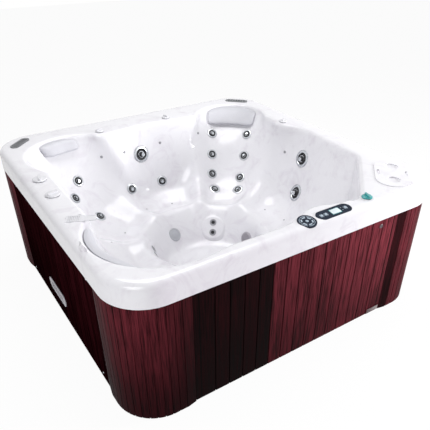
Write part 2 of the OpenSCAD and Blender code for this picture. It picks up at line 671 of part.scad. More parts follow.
// Reach of the shell's facets at ring k, and between the rings at height z
function facet_reach(a, k) =
    let (c = [for (j = [0:side_count - 1]) if (gap_deg(a, ring_angle(j, k)) >= 0 && gap_deg(a, ring_angle(j, k)) < 12) j],
         j = max(c), p = ring_angle(j, k), q = ring_angle(j + 1, k), h = wall_steps[k - wall_first],
         u = wall_reach(p, h) * [cos(p), sin(p)], v = wall_reach(q, h) * [cos(q), sin(q)], d = v - u)
    cross(u, v) / cross([cos(a), sin(a)], d);
function pillow_edge(a, z) =
    let (h = min(1, (z - foot_z) / (edge_z - foot_z)),
         i = max([for (i = [0:len(wall_steps) - 2]) if (wall_steps[i] >= h) i]),
         t = (wall_steps[i] - h) / (wall_steps[i] - wall_steps[i + 1]))
    mix(facet_reach(a, wall_first + i), facet_reach(a, wall_first + i + 1), t);
pillow_top = edge_z + 6;
pillow_gap = 5;

module pillow_pin(p, s, d, l)
    let (a = p[0] + s * p[1] * 0.5, z = pillow_top - p[2] / 2 - 10, r = pillow_edge(a, z))
        translate([r * cos(a), r * sin(a), z]) rotate([0, 90, a]) translate([0, 0, -pillow_gap - 12])
            cylinder(d = d, h = pillow_gap + 12 + l, $fn = 16);

// A pillow follows the wall behind it and swells toward the water
module pillow(p) {
    n = 18;
    m = 16;
    function ring(u) = sqrt(max(0, 1 - pow(abs(u), 3.2)));
    points = [for (i = [0:n]) for (j = [0:m - 1])
        let (u = mix(-0.985, 0.985, i / n), w = ring(u), c = cos(360 * j / m), s = sin(360 * j / m),
             e = 0.62, cs = sign(c) * pow(abs(c), e), sn = sign(s) * pow(abs(s), e),
             a = p[0] + u * p[1], z = pillow_top - p[2] / 2 + sn * p[2] / 2 * (0.55 + 0.45 * w),
             r = pillow_edge(a, min(z, edge_z)) - pillow_gap
                 - (c < 0 ? pillow_t * w * (-cs) * 0.8 : 0) - pillow_t * 0.1 * (1 - cs))
        [r * cos(a), r * sin(a), z]];
    faces = concat(
        [for (i = [0:n - 1]) for (j = [0:m - 1])
            each [[i * m + j, i * m + (j + 1) % m, (i + 1) * m + (j + 1) % m],
                  [i * m + j, (i + 1) * m + (j + 1) % m, (i + 1) * m + j]]],
        [[for (j = [m - 1:-1:0]) j]],
        [[for (j = [0:m - 1]) n * m + j]]);
    polyhedron(points = points, faces = faces);
    for (s = [-1, 1]) pillow_pin(p, s, pillow_pin_d, pin_l);
}
module pillow_far() color("lightgray") pillow(pillows[0]);
module pillow_left() color("lightgray") pillow(pillows[1]);
module pillow_near() color("lightgray") pillow(pillows[2]);

speaker_l = 190;
speaker_w = 62;
// Waterproof speakers set in the rim behind two of the pillows
module speakers() color("#444444") for (a = [45, 135]) rotate([0, 0, a])
    translate([speaker_u, 0, rim_z]) rotate([0, 0, 90]) {
        translate([0, 0, -4]) difference() {
            stadium(speaker_l, speaker_w, 8);
            for (i = [-3:3]) translate([i * 22, 0, 5]) cube([8, speaker_w - 24, 8], center = true);
        }
        translate([0, 0, -30]) stadium(speaker_l - 14, speaker_w - 14, 27);
    }

// Fixed part of a jet: flange, tube, nut behind the shell and the hose tail
module jet_body(face_d, body_d) difference() {
    union() {
        rotate_extrude($fn = 40) polygon([[0, 0], [face_d / 2 - 5, 0], [face_d / 2 - 5, 2], [0, 2]]);
        translate([0, 0, -jet_depth]) cylinder(d = body_d, h = jet_depth + 1, $fn = 40);
        translate([0, 0, -shell_t - 17]) cylinder(d = body_d + 14, h = 10, $fn = 6);
        translate([0, 0, -jet_depth - 22]) cylinder(d = body_d * 0.5, h = 24, $fn = 32);
    }
    translate([0, 0, -jet_depth + 8]) cylinder(d = body_d - 10, h = jet_depth, $fn = 40);
    translate([0, 0, -jet_depth - 23]) cylinder(d = body_d * 0.5 - 8, h = 40, $fn = 32);
}
module jet_bodies() color("gray") {
    each_small() jet_body(small_jet_d, small_body_d);
    each_large() jet_body(large_jet_d, large_body_d);
}

// Turning part of a jet: ribbed bezel, nozzle ball and the stem that turns in the body
module jet_face(face_d, body_d, ribs) {
    stem = body_d - 10 - 2 * run_gap;
    r = face_d / 2;
    translate([0, 0, 2 + seat_gap]) difference() {
        union() {
            rotate_extrude($fn = 60) polygon([[0, 0], [r, 0], [r, 2.4], [r - 3, 5.6], [r * 0.74, 6.6],
                [r * 0.66, 3], [r * 0.5, 2.4], [r * 0.42, 7.5], [r * 0.3, 9.5], [0, 9.5]]);
            translate([0, 0, -jet_depth * 0.5]) cylinder(d = stem, h = jet_depth * 0.5 + 1, $fn = 60);
        }
        translate([0, 0, -jet_depth]) cylinder(d = stem - 8, h = jet_depth - 2, $fn = 40);
        rotate([14, 0, 0]) translate([0, 0, -10]) cylinder(r = r * 0.17, h = 40, $fn = 32);
        for (i = [0:ribs - 1]) rotate([0, 0, 360 * (i + 0.5) / ribs]) translate([r * 0.58, 0, -1])
            cylinder(r = r * 0.06, h = 20, $fn = 16);
        for (i = [0:5]) rotate([0, 0, 60 * i]) translate([r + 2, 0, -1]) cylinder(r = 5, h = 20, $fn = 20);
    }
}
module small_face(j) color("silver") small_site(j) jet_face(small_jet_d, small_body_d, 8);
module large_face(j) color("silver") small_site(j) jet_face(large_jet_d, large_body_d, 12);

// Air injectors: ribbed plugs set flush in the wall
module air_injectors() color("gray") for (s = injector_sites)
    multmatrix(wall_frame(s[0], s[1])) difference() {
        rotate_extrude($fn = 24) polygon([[0, -30], [injector_d * 0.3, -30], [injector_d * 0.3, -shell_t - 2],
            [injector_d / 2, -shell_t - 2], [injector_d / 2, 1], [injector_d / 2 - 2, 3], [0, 4]]);
        for (i = [0:4]) rotate([0, 0, 72 * i]) translate([injector_d * 0.2, 0, -40]) cylinder(d = 2, h = 50, $fn = 13);
    }

module light_lens() color("aliceblue") at_slope(light_site) translate([0, 0, -pad_depth]) {
    rotate_extrude($fn = 60) polygon([[0, 0], [light_d / 2, 0], [light_d / 2, 3], [light_d * 0.43, 6],
        [light_d * 0.38, 4], [light_d * 0.2, 9], [0, 10]]);
    translate([0, 0, -40]) cylinder(d = light_d * 0.72, h = 41, $fn = 48);
}
module suction_cover() color("gray") at_slope(suction_site) translate([0, 0, -pad_depth]) difference() {
    union() {
        rotate_extrude($fn = 60) polygon([[0, 0], [light_d / 2, 0], [light_d / 2, 3], [light_d * 0.4, 9], [0, 13]]);
        translate([0, 0, -40]) cylinder(d = light_d * 0.72, h = 41, $fn = 48);
    }
    translate([0, 0, -41]) cylinder(d = light_d * 0.6, h = 42, $fn = 40);
    for (i = [-4:4]) translate([i * 9, 0, 0]) cube([4, 2 * sqrt(pow(light_d * 0.38, 2) - pow(i * 9, 2)), 40],
        center = true);
}
// Small fixed jets for the feet
module foot_jets() color("gray") each_foot_jet() difference() {
        union() {
            rotate_extrude($fn = 40) polygon([[0, 0], [foot_jet_d / 2, 0], [foot_jet_d / 2, 2],
                [foot_jet_d / 2 - 4, 5], [foot_jet_d * 0.28, 3], [0, 3]]);
            translate([0, 0, -44]) cylinder(d = foot_jet_d * 0.6, h = 45, $fn = 32);
        }
        translate([0, 0, -30]) cylinder(d = foot_jet_d * 0.36, h = 60, $fn = 32);
    }

fall_l = 150;
fall_w = 62;
fall_turn = -26;
module at_fall() translate([fall_at[0], fall_at[1], rim_z]) rotate([0, 0, fall_turn]) children();
module fall_slot(inset) translate([0, 0, 0]) linear_extrude(40)
    square([fall_l * 0.55 - 2 * inset, fall_w - 2 * inset], center = true);
// Ribbed grille on the left rim with a lip that pours over the edge
module waterfall() color("lightgray") at_fall() {
    difference() {
        translate([0, 0, -3]) linear_extrude(8) square([fall_l * 0.55, fall_w], center = true);
        for (i = [-3:3]) translate([i * 9, 0, 4]) cube([4, fall_w - 14, 6], center = true);
    }
    // Spout that carries the sheet of water out past the edge
    difference() {
        hull() {
            translate([fall_l * 0.275 - 2, 0, 2.5]) cube([4, fall_w, 5], center = true);
            translate([fall_l * 0.275 + 72, 0, 1.5]) cube([4, fall_w - 12, 5], center = true);
        }
        hull() {
            translate([fall_l * 0.275 + 8, 0, 5]) cube([4, fall_w - 14, 5], center = true);
            translate([fall_l * 0.275 + 76, 0, 4]) cube([8, fall_w - 22, 5], center = true);
        }
    }
    translate([0, 0, -40]) linear_extrude(38) square([fall_l * 0.55 - 14, fall_w - 14], center = true);
}

module panel_bore(x) translate([x, 0, -6]) cylinder(d = button_d + 2 * run_gap, h = 20, $fn = 40);
button_xs = [-88, -58, 84];
// Touch plate with a display window between two groups of keys
module control_panel() color("#223344") at_console() translate([panel_x, 0, -console_sink]) difference() {
    union() {
        stadium(panel_l, panel_w, 7);
        translate([0, 0, -24]) stadium(panel_l - 16, panel_w - 16, 25);
    }
    translate([10, 0, 6]) linear_extrude(5) square([62, 40], center = true);
    for (x = button_xs) translate([x, 0, 0]) cylinder(d = button_d + 2 * run_gap, h = 20, $fn = 40);
}
module panel_button(x) color("lightsteelblue") at_console() translate([x, 0, -console_sink]) {
    translate([0, 0, button_travel + 0.2]) cylinder(d = button_d, h = 7, $fn = 40);
    translate([0, 0, button_travel + 7]) rotate_extrude($fn = 40)
        polygon([[0, 0], [button_d / 2, 0], [button_d / 2 - 2, 1.4], [0, 1.8]]);
}
module button_jets() panel_button(panel_x + button_xs[0]);
module button_light() panel_button(panel_x + button_xs[1]);
module button_temperature() panel_button(panel_x + button_xs[2]);
module aux_panel() color("#223344") at_console() translate([aux_x, 0, -console_sink]) difference() {
    union() {
        cylinder(d = aux_d, h = 7, $fn = 64);
        translate([0, 0, -24]) cylinder(d = aux_d - 16, h = 25, $fn = 48);
    }
    cylinder(d = button_d + 2 * run_gap, h = 20, $fn = 40);
}
module button_blower() panel_button(aux_x);

// Fixed body of a rim valve, with the bore that its knob's stem turns in
module valve_body(d) difference() {
    union() {
        translate([0, 0, -60]) cylinder(d = d * valve_body_share, h = 60, $fn = 48);
        cylinder(d = d * 0.94, h = 3, $fn = 48);
        translate([0, 0, -shell_t - 14]) cylinder(d = d * valve_body_share + 12, h = 10, $fn = 8);
    }
    translate([0, 0, -50]) cylinder(d = d * 0.3 + 2 * run_gap, h = 80, $fn = 40);
}
module valve_bodies() color("gray") {
    for (p = small_knobs) translate([p[0], p[1], rim_z]) valve_body(air_knob_d);
    for (p = left_knobs) translate([p[0], p[1], rim_z]) valve_body(diverter_d);
}
// A rim knob: low round cap with a raised finger bar and a stem
module knob(d, a) rotate([0, 0, a]) {
    translate([0, 0, 3 + seat_gap]) difference() {
        rotate_extrude($fn = 60) polygon([[0, 0], [d / 2, 0], [d / 2, 5], [d / 2 - 4, 8.5], [0, 10]]);
        for (i = [0:11]) rotate([0, 0, 30 * i]) translate([d / 2 + 2, 0, -1]) cylinder(r = 4, h = 20, $fn = 20);
    }
    translate([0, 0, 3 + seat_gap + 8]) stadium(d * 0.82, d * 0.2, 11);
    translate([0, 0, -40]) cylinder(d = d * 0.3, h = 44 + seat_gap, $fn = 40);
}
module rim_knob(p, d, a) color("lightgray") translate([p[0], p[1], rim_z]) knob(d, a);

module jet_far_1() small_face(far_jets[0]);
module jet_far_2() small_face(far_jets[1]);
module jet_far_3() small_face(far_jets[2]);
module jet_far_4() small_face(far_jets[3]);
module jet_far_5() small_face(far_jets[4]);
module jet_far_6() small_face(far_jets[5]);
module jet_far_7() small_face(far_jets[6]);
module jet_far_8() small_face(far_jets[7]);
module jet_right_1() large_face(right_jets[0]);
module jet_right_2() large_face(right_jets[1]);
module jet_back_1() large_face(back_jets[0]);
module jet_back_2() small_face(back_jets[1]);
module jet_back_3() small_face(back_jets[2]);
module jet_left_1() small_face(left_jets[0]);
module jet_left_2() small_face(left_jets[1]);
module jet_left_3() small_face(left_jets[2]);
module knob_left_1() rim_knob(left_knobs[0], diverter_d, 20);
module knob_left_2() rim_knob(left_knobs[1], diverter_d, 80);
module knob_back_1() rim_knob(back_knobs[0], air_knob_d, 10);
module knob_back_2() rim_knob(back_knobs[1], air_knob_d, 100);
module knob_right() rim_knob(right_knob, air_knob_d, 45);
module knob_lit() rim_knob(lit_knob, air_knob_d, 70);

shell();
base_pan();
frame();
front_panel();
back_panel();
left_panel();
right_panel();
corner_near();
corner_right();
corner_far();
corner_left();
panel_screws();
panel_lock();
cabinet_vents();
pump();
blower();
spa_pack();
plumbing();
filter_housing();
filter_cartridge();
filter_lid();
pillow_far();
pillow_left();
pillow_near();
speakers();
jet_bodies();
jet_far_1();
jet_far_2();
jet_far_3();
jet_far_4();
jet_far_5();
jet_far_6();
jet_far_7();
jet_far_8();
jet_right_1();
jet_right_2();
jet_back_1();
jet_back_2();
jet_back_3();
jet_left_1();
jet_left_2();
jet_left_3();
air_injectors();
light_lens();
suction_cover();
foot_jets();
waterfall();
control_panel();
button_jets();
button_light();
button_temperature();
aux_panel();
button_blower();
valve_bodies();
knob_left_1();
knob_left_2();
knob_back_1();
knob_back_2();
knob_right();
knob_lit();
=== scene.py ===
import bpy
import bmesh
from math import sin, cos, radians, sqrt, exp, log, pi
from mathutils import Vector, Matrix


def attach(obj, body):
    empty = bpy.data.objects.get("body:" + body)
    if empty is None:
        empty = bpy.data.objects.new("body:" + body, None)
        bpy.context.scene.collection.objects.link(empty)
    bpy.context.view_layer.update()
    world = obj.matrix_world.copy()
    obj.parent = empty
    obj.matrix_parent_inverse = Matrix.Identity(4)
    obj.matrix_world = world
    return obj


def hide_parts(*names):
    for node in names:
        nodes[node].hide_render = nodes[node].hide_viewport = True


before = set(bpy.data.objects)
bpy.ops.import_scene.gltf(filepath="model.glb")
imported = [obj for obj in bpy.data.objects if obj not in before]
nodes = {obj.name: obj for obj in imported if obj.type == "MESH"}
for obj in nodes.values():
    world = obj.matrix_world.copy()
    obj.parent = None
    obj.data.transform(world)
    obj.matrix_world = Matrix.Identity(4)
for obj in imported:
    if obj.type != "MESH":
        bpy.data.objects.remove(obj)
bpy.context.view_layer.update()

print("hot tub frame loaded:", len(nodes), "nodes")

# Camera at the photograph's angle
cameraSetup = {
    "place": (-1.5960, -2.6434, 2.1308),
    "azimuth": -34.07,
    "elevation": 34.38,
    "roll": 0.27,
    "lens": 41.67,
    "shift": (-0.0244, 0.1158),
}


def addCamera(setup):
    a, e, r = radians(setup["azimuth"]), radians(setup["elevation"]), radians(setup["roll"])
    back = Vector((sin(a) * cos(e), -cos(a) * cos(e), sin(e)))
    right = Vector((cos(a), sin(a), 0))
    up = back.cross(right)
    x = cos(r) * right + sin(r) * up
    y = -sin(r) * right + cos(r) * up
    lens = bpy.data.cameras.new("photoCamera")
    lens.lens = setup["lens"]
    lens.sensor_width = 36
    lens.shift_x, lens.shift_y = setup["shift"]
    lens.clip_end = 50
    cam = bpy.data.objects.new("photoCamera", lens)
    bpy.context.collection.objects.link(cam)
    turn = Matrix((x, y, back)).transposed().to_4x4()
    cam.matrix_world = Matrix.Translation(setup["place"]) @ turn
    bpy.context.scene.camera = cam


addCamera(cameraSetup)
bpy.context.scene.view_settings.view_transform = "Standard"


# Studio: white backdrop, a key from the right, soft lamps from the left and above, a dim world
studio = {
    "keyPlace": (3.5, -2.5, 1.5), "keySize": 1.4, "keyPower": 190,
    "fillPlace": (-3.0, -2.6, 2.2), "fillSize": 2.0, "fillPower": 52,
    "topPlace": (0.3, 0.6, 4.4), "topSize": 3.4, "topPower": 118,
    "worldColor": (0.97, 0.96, 1.0), "worldLevel": 0.22,
    "floorColor": (0.92, 0.92, 0.92), "floorGlow": 0.95,
}


def addLamp(name, place, size, power, aim=(0, 0, 0.5)):
    lamp = bpy.data.lights.new(name, "AREA")
    lamp.shape = "DISK"
    lamp.size = size
    lamp.energy = power
    o = bpy.data.objects.new(name, lamp)
    bpy.context.collection.objects.link(o)
    o.location = place
    o.rotation_euler = (Vector(aim) - Vector(place)).to_track_quat("-Z", "Y").to_euler()


for lampName in ("key", "fill", "top"):
    addLamp(lampName + "Lamp", *(studio[lampName + part] for part in ("Place", "Size", "Power")))


def seenRays(t):
    # One for camera, mirror and glass rays, which all see the white backdrop
    path = t.nodes.new("ShaderNodeLightPath")
    total = path.outputs["Is Camera Ray"]
    for kind in ("Is Glossy Ray", "Is Transmission Ray"):
        add = t.nodes.new("ShaderNodeMath")
        add.operation = "ADD"
        add.use_clamp = True
        t.links.new(total, add.inputs[0])
        t.links.new(path.outputs[kind], add.inputs[1])
        total = add.outputs[0]
    return total


def buildWorld(setup):
    world = bpy.data.worlds.new("studioWorld")
    bpy.context.scene.world = world
    world.use_nodes = True
    t = world.node_tree
    t.nodes.clear()
    out = t.nodes.new("ShaderNodeOutputWorld")
    mix = t.nodes.new("ShaderNodeMixShader")
    lit = t.nodes.new("ShaderNodeBackground")
    seen = t.nodes.new("ShaderNodeBackground")
    lit.inputs["Color"].default_value = (*setup["worldColor"], 1)
    lit.inputs["Strength"].default_value = setup["worldLevel"]
    seen.inputs["Color"].default_value = (1, 1, 1, 1)
    seen.inputs["Strength"].default_value = 1.0
    t.links.new(seenRays(t), mix.inputs["Fac"])
    t.links.new(lit.outputs[0], mix.inputs[1])
    t.links.new(seen.outputs[0], mix.inputs[2])
    t.links.new(mix.outputs[0], out.inputs["Surface"])


buildWorld(studio)


def addFloor(setup):
    bpy.ops.object.select_all(action="DESELECT")
    bpy.ops.mesh.primitive_plane_add(size=30, location=(0, 0, -0.001))
    plane = bpy.context.object
    plane.name = "studioFloor"
    m = bpy.data.materials.new("studioFloor")
    m.use_nodes = True
    t = m.node_tree
    p = t.nodes["Principled BSDF"]
    p.inputs["Base Color"].default_value = (*setup["floorColor"], 1)
    p.inputs["Roughness"].default_value = 0.8
    glow = t.nodes.new("ShaderNodeEmission")
    glow.inputs["Strength"].default_value = 1.0
    mix = t.nodes.new("ShaderNodeMixShader")
    scale = t.nodes.new("ShaderNodeMath")
    scale.operation = "MULTIPLY"
    scale.inputs[1].default_value = setup["floorGlow"]
    t.links.new(seenRays(t), scale.inputs[0])
    t.links.new(scale.outputs[0], mix.inputs["Fac"])
    t.links.new(p.outputs[0], mix.inputs[1])
    t.links.new(glow.outputs[0], mix.inputs[2])
    t.links.new(mix.outputs[0], t.nodes["Material Output"].inputs["Surface"])
    plane.data.materials.append(m)


addFloor(studio)
print("studio ready")


# Shared surface effects, as groups
def newGroup(name, inputs, outputs):
    g = bpy.data.node_groups.new(name, "ShaderNodeTree")
    for label, kind, value in inputs:
        s = g.interface.new_socket(label, in_out="INPUT", socket_type=kind)
        s.default_value = value
    for label, kind in outputs:
        g.interface.new_socket(label, in_out="OUTPUT", socket_type=kind)
    return g, g.nodes.new("NodeGroupInput"), g.nodes.new("NodeGroupOutput")


def mathNode(t, operation, a=None, b=None):
    n = t.nodes.new("ShaderNodeMath")
    n.operation = operation
    for i, v in enumerate((a, b)):
        if v is None:
            continue
        if hasattr(v, "links"):
            t.links.new(v, n.inputs[i])
        else:
            n.inputs[i].default_value = v
    return n.outputs[0]


def mixColor(t, fac, a, b):
    n = t.nodes.new("ShaderNodeMix")
    n.data_type = "RGBA"
    for key, v in ((0, fac), (6, a), (7, b)):
        if hasattr(v, "links"):
            t.links.new(v, n.inputs[key])
        else:
            n.inputs[key].default_value = v
    return n.outputs[2]


def mapRange(t, value, old, new):
    n = t.nodes.new("ShaderNodeMapRange")
    for key, v in zip(("From Min", "From Max", "To Min", "To Max"), (*old, *new)):
        n.inputs[key].default_value = v
    t.links.new(value, n.inputs["Value"])
    return n


def addGroup(t, tree, values):
    g = t.nodes.new("ShaderNodeGroup")
    g.node_tree = tree
    for key, v in values.items():
        g.inputs[key].default_value = v
    return g


def mottleGroup():
    g, gi, go = newGroup("softMottle",
        [("Color", "NodeSocketColor", (0.8, 0.8, 0.8, 1)), ("Scale", "NodeSocketFloat", 20.0),
         ("Amount", "NodeSocketFloat", 0.1)],
        [("Color", "NodeSocketColor"), ("Value", "NodeSocketFloat")])
    co = g.nodes.new("ShaderNodeTexCoord")
    n = g.nodes.new("ShaderNodeTexNoise")
    n.inputs["Detail"].default_value = 6
    n.inputs["Roughness"].default_value = 0.62
    g.links.new(co.outputs["Object"], n.inputs["Vector"])
    g.links.new(gi.outputs["Scale"], n.inputs["Scale"])
    centred = mathNode(g, "SUBTRACT", n.outputs["Fac"], 0.5)
    change = mathNode(g, "MULTIPLY", centred, gi.outputs["Amount"])
    bright = mathNode(g, "ADD", change, 1.0)
    hue = g.nodes.new("ShaderNodeHueSaturation")
    g.links.new(gi.outputs["Color"], hue.inputs["Color"])
    g.links.new(bright, hue.inputs["Value"])
    g.links.new(hue.outputs["Color"], go.inputs["Color"])
    g.links.new(n.outputs["Fac"], go.inputs["Value"])
    return g


woodGrain = {
    "stretch": 0.035,            # how much slower the streaks change upwards than across
    "fineScale": 210, "broadScale": 48,
    "fineShare": 0.66, "broadShare": 0.26, "slatShare": 0.08,
    "darkest": 0.38, "lightest": 0.60,
    # Painted shade in the grooves between slats: where it starts and how dark it is
    "groove": 0.462,             # where the line starts, from the slat's middle
    "groovePaintedShade": 0.86,
}


def grainGroup():
    # Streaks that run up the slats, with a tone of its own for each slat, and a painted shade line in the
    # grooves between them
    g, gi, go = newGroup("slatGrain",
        [("Dark", "NodeSocketColor", (0.1, 0.02, 0.03, 1)),
         ("Light", "NodeSocketColor", (0.2, 0.05, 0.06, 1)),
         ("Slat", "NodeSocketFloat", 0.09), ("Shift", "NodeSocketFloat", 0.025),
         ("Line", "NodeSocketFloat", 0.0)],
        [("Color", "NodeSocketColor"), ("Height", "NodeSocketFloat"), ("Shade", "NodeSocketFloat")])
    co = g.nodes.new("ShaderNodeTexCoord")
    stretch = g.nodes.new("ShaderNodeMapping")
    stretch.inputs["Scale"].default_value = (1, 1, woodGrain["stretch"])
    g.links.new(co.outputs["Object"], stretch.inputs["Vector"])
    fine = g.nodes.new("ShaderNodeTexNoise")
    fine.inputs["Scale"].default_value = woodGrain["fineScale"]
    fine.inputs["Detail"].default_value = 5
    g.links.new(stretch.outputs["Vector"], fine.inputs["Vector"])
    broad = g.nodes.new("ShaderNodeTexNoise")
    broad.inputs["Scale"].default_value = woodGrain["broadScale"]
    broad.inputs["Detail"].default_value = 3
    g.links.new(stretch.outputs["Vector"], broad.inputs["Vector"])
    parts = g.nodes.new("ShaderNodeSeparateXYZ")
    g.links.new(co.outputs["Object"], parts.inputs[0])
    along = mathNode(g, "ADD", parts.outputs["X"], parts.outputs["Y"])
    slats = mathNode(g, "DIVIDE", mathNode(g, "ADD", along, gi.outputs["Shift"]), gi.outputs["Slat"])
    step = mathNode(g, "FLOOR", slats)
    # How near the slat's edge a point lies, and a painted shade line in the groove there
    edge = mathNode(g, "ABSOLUTE", mathNode(g, "SUBTRACT", mathNode(g, "FRACT", slats), 0.5))
    atEdge = mathNode(g, "GREATER_THAN", edge, woodGrain["groove"])
    line = mathNode(g, "MULTIPLY", atEdge, gi.outputs["Line"])
    shade = g.nodes.new("ShaderNodeTexWhiteNoise")
    shade.noise_dimensions = "1D"
    g.links.new(step, shade.inputs["W"])
    fineTone = mathNode(g, "MULTIPLY", fine.outputs["Fac"], woodGrain["fineShare"])
    broadTone = mathNode(g, "MULTIPLY", broad.outputs["Fac"], woodGrain["broadShare"])
    slatTone = mathNode(g, "MULTIPLY", shade.outputs["Value"], woodGrain["slatShare"])
    total = mathNode(g, "ADD", mathNode(g, "ADD", fineTone, broadTone), slatTone)
    fac = mapRange(g, total, (woodGrain["darkest"], woodGrain["lightest"]), (0, 1)).outputs[0]
    col = mixColor(g, fac, gi.outputs["Dark"], gi.outputs["Light"])
    shadow = g.nodes.new("ShaderNodeVectorMath")
    shadow.operation = "SCALE"
    g.links.new(col, shadow.inputs[0])
    # Painted shade darkens the groove lines
    grooveShadeAmount = mathNode(g, "MULTIPLY", line, woodGrain["groovePaintedShade"])
    g.links.new(mathNode(g, "SUBTRACT", 1.0, grooveShadeAmount), shadow.inputs["Scale"])
    g.links.new(shadow.outputs[0], go.inputs["Color"])
    g.links.new(fine.outputs["Fac"], go.inputs["Height"])
    g.links.new(fac, go.inputs["Shade"])
    return g


mottle = mottleGroup()
grain = grainGroup()


def material(name, roughness=0.5, metallic=0.0, coat=0.0, coatRough=0.05):
    m = bpy.data.materials.new(name)
    m.use_nodes = True
    p = m.node_tree.nodes["Principled BSDF"]
    p.inputs["Roughness"].default_value = roughness
    p.inputs["Metallic"].default_value = metallic
    p.inputs["Coat Weight"].default_value = coat
    p.inputs["Coat Roughness"].default_value = coatRough
    return m, m.node_tree, p


def addBump(t, p, height, distance):
    b = t.nodes.new("ShaderNodeBump")
    b.inputs["Distance"].default_value = distance
    b.inputs["Strength"].default_value = 1.0
    t.links.new(height, b.inputs["Height"])
    t.links.new(b.outputs["Normal"], p.inputs["Normal"])


def addNoise(t, scale, detail=2):
    # Noise in the piece's own place, so that it stays put when the piece moves
    n = t.nodes.new("ShaderNodeTexNoise")
    n.inputs["Scale"].default_value = scale
    n.inputs["Detail"].default_value = detail
    co = t.nodes.new("ShaderNodeTexCoord")
    t.links.new(co.outputs["Object"], n.inputs["Vector"])
    return n


def mottled(name, color, roughness, scale, amount, bump=0.0, bumpScale=90, **more):
    # Plastic, enamel or metal whose colour and gloss both vary a little
    m, t, p = material(name, roughness, **more)
    g = addGroup(t, mottle, {"Color": (*color, 1), "Scale": scale, "Amount": amount})
    t.links.new(g.outputs["Color"], p.inputs["Base Color"])
    ends = (roughness - 0.06, roughness + 0.06)
    t.links.new(mapRange(t, g.outputs["Value"], (0, 1), ends).outputs[0], p.inputs["Roughness"])
    if bump:
        addBump(t, p, addNoise(t, bumpScale, 4).outputs["Fac"], bump)
    return m


def toneAlong(t, axis, span, tones):
    # A factor that runs from one tone to the other between two places on an axis
    co = t.nodes.new("ShaderNodeTexCoord")
    parts = t.nodes.new("ShaderNodeSeparateXYZ")
    t.links.new(co.outputs["Object"], parts.inputs[0])
    run = mapRange(t, parts.outputs[axis], span, tones)
    run.interpolation_type = "SMOOTHSTEP"
    return run.outputs[0]


marble = {
    "cloudScale": 5.5, "cloudDetail": 8, "cloudRough": 0.66, "cloudTwist": 1.4,
    "veins": (0.50, 0.78), "veinMost": 0.6,
    "mottleScale": 26, "mottleAmount": 0.05,
    # Where the front skirt gets painted shade, how much, and how much of it is left at its right end
    "skirtShadeSpan": (-1.072, -1.045), "skirtShadeShare": 0.42,
    "skirtShadeRun": (-0.9, 0.9), "skirtShadeRight": 0.35,
}


def marbled(name, color, veinAndShade, roughness):
    # Pearl acrylic: faint cloudy veins under a clear skin
    m, t, p = material(name, roughness, coat=0.35, coatRough=0.08)
    p.inputs["Specular IOR Level"].default_value = 0.4
    cloud = addNoise(t, marble["cloudScale"], marble["cloudDetail"])
    cloud.inputs["Roughness"].default_value = marble["cloudRough"]
    cloud.inputs["Distortion"].default_value = marble["cloudTwist"]
    spread = mapRange(t, cloud.outputs["Fac"], marble["veins"], (0, marble["veinMost"]))
    g = addGroup(t, mottle, {"Color": (*color, 1), "Scale": marble["mottleScale"],
                             "Amount": marble["mottleAmount"]})
    # Painted shade on the front skirt: more of the vein colour there, most at the left end and less toward
    # the right
    skirtShade = toneAlong(t, "Y", marble["skirtShadeSpan"], (marble["skirtShadeShare"], 0.0))
    low = toneAlong(t, "X", marble["skirtShadeRun"], (1.0, marble["skirtShadeRight"]))
    share = mathNode(t, "ADD", spread.outputs[0], mathNode(t, "MULTIPLY", skirtShade, low))
    t.links.new(mixColor(t, share, g.outputs["Color"], (*veinAndShade, 1)), p.inputs["Base Color"])
    return m


def slatMaterial(name, dark, light, slat, roughness=0.5, shine=0.02, along=(), rise=(0.62, 1.25),
                 offset=0.025, line=0.0):
    # Stained wood in slats, with painted shade: rise is the painted shading at the foot and at the top,
    # along gives more such runs of painted light and shade
    m, t, p = material(name, roughness)
    p.inputs["Specular IOR Level"].default_value = shine
    g = addGroup(t, grain, {"Dark": (*dark, 1), "Light": (*light, 1), "Slat": slat,
                            "Shift": offset, "Line": line})
    # Painted shade, darker toward the foot, times the painted runs of light and shade across the panel
    paintedShading = toneAlong(t, "Z", (0.05, 0.72), rise)
    for axis, span, tones in along:
        paintedShading = mathNode(t, "MULTIPLY", paintedShading, toneAlong(t, axis, span, tones))
    shaded = t.nodes.new("ShaderNodeVectorMath")
    shaded.operation = "SCALE"
    t.links.new(g.outputs["Color"], shaded.inputs[0])
    t.links.new(paintedShading, shaded.inputs["Scale"])
    t.links.new(shaded.outputs[0], p.inputs["Base Color"])
    ends = (roughness - 0.06, roughness + 0.14)
    t.links.new(mapRange(t, g.outputs["Shade"], (0, 1), ends).outputs[0], p.inputs["Roughness"])
    addBump(t, p, g.outputs["Height"], 0.0006)
    return m


slatDark = (0.015, 0.0022, 0.0032)
slatLight = (0.105, 0.0155, 0.0225)
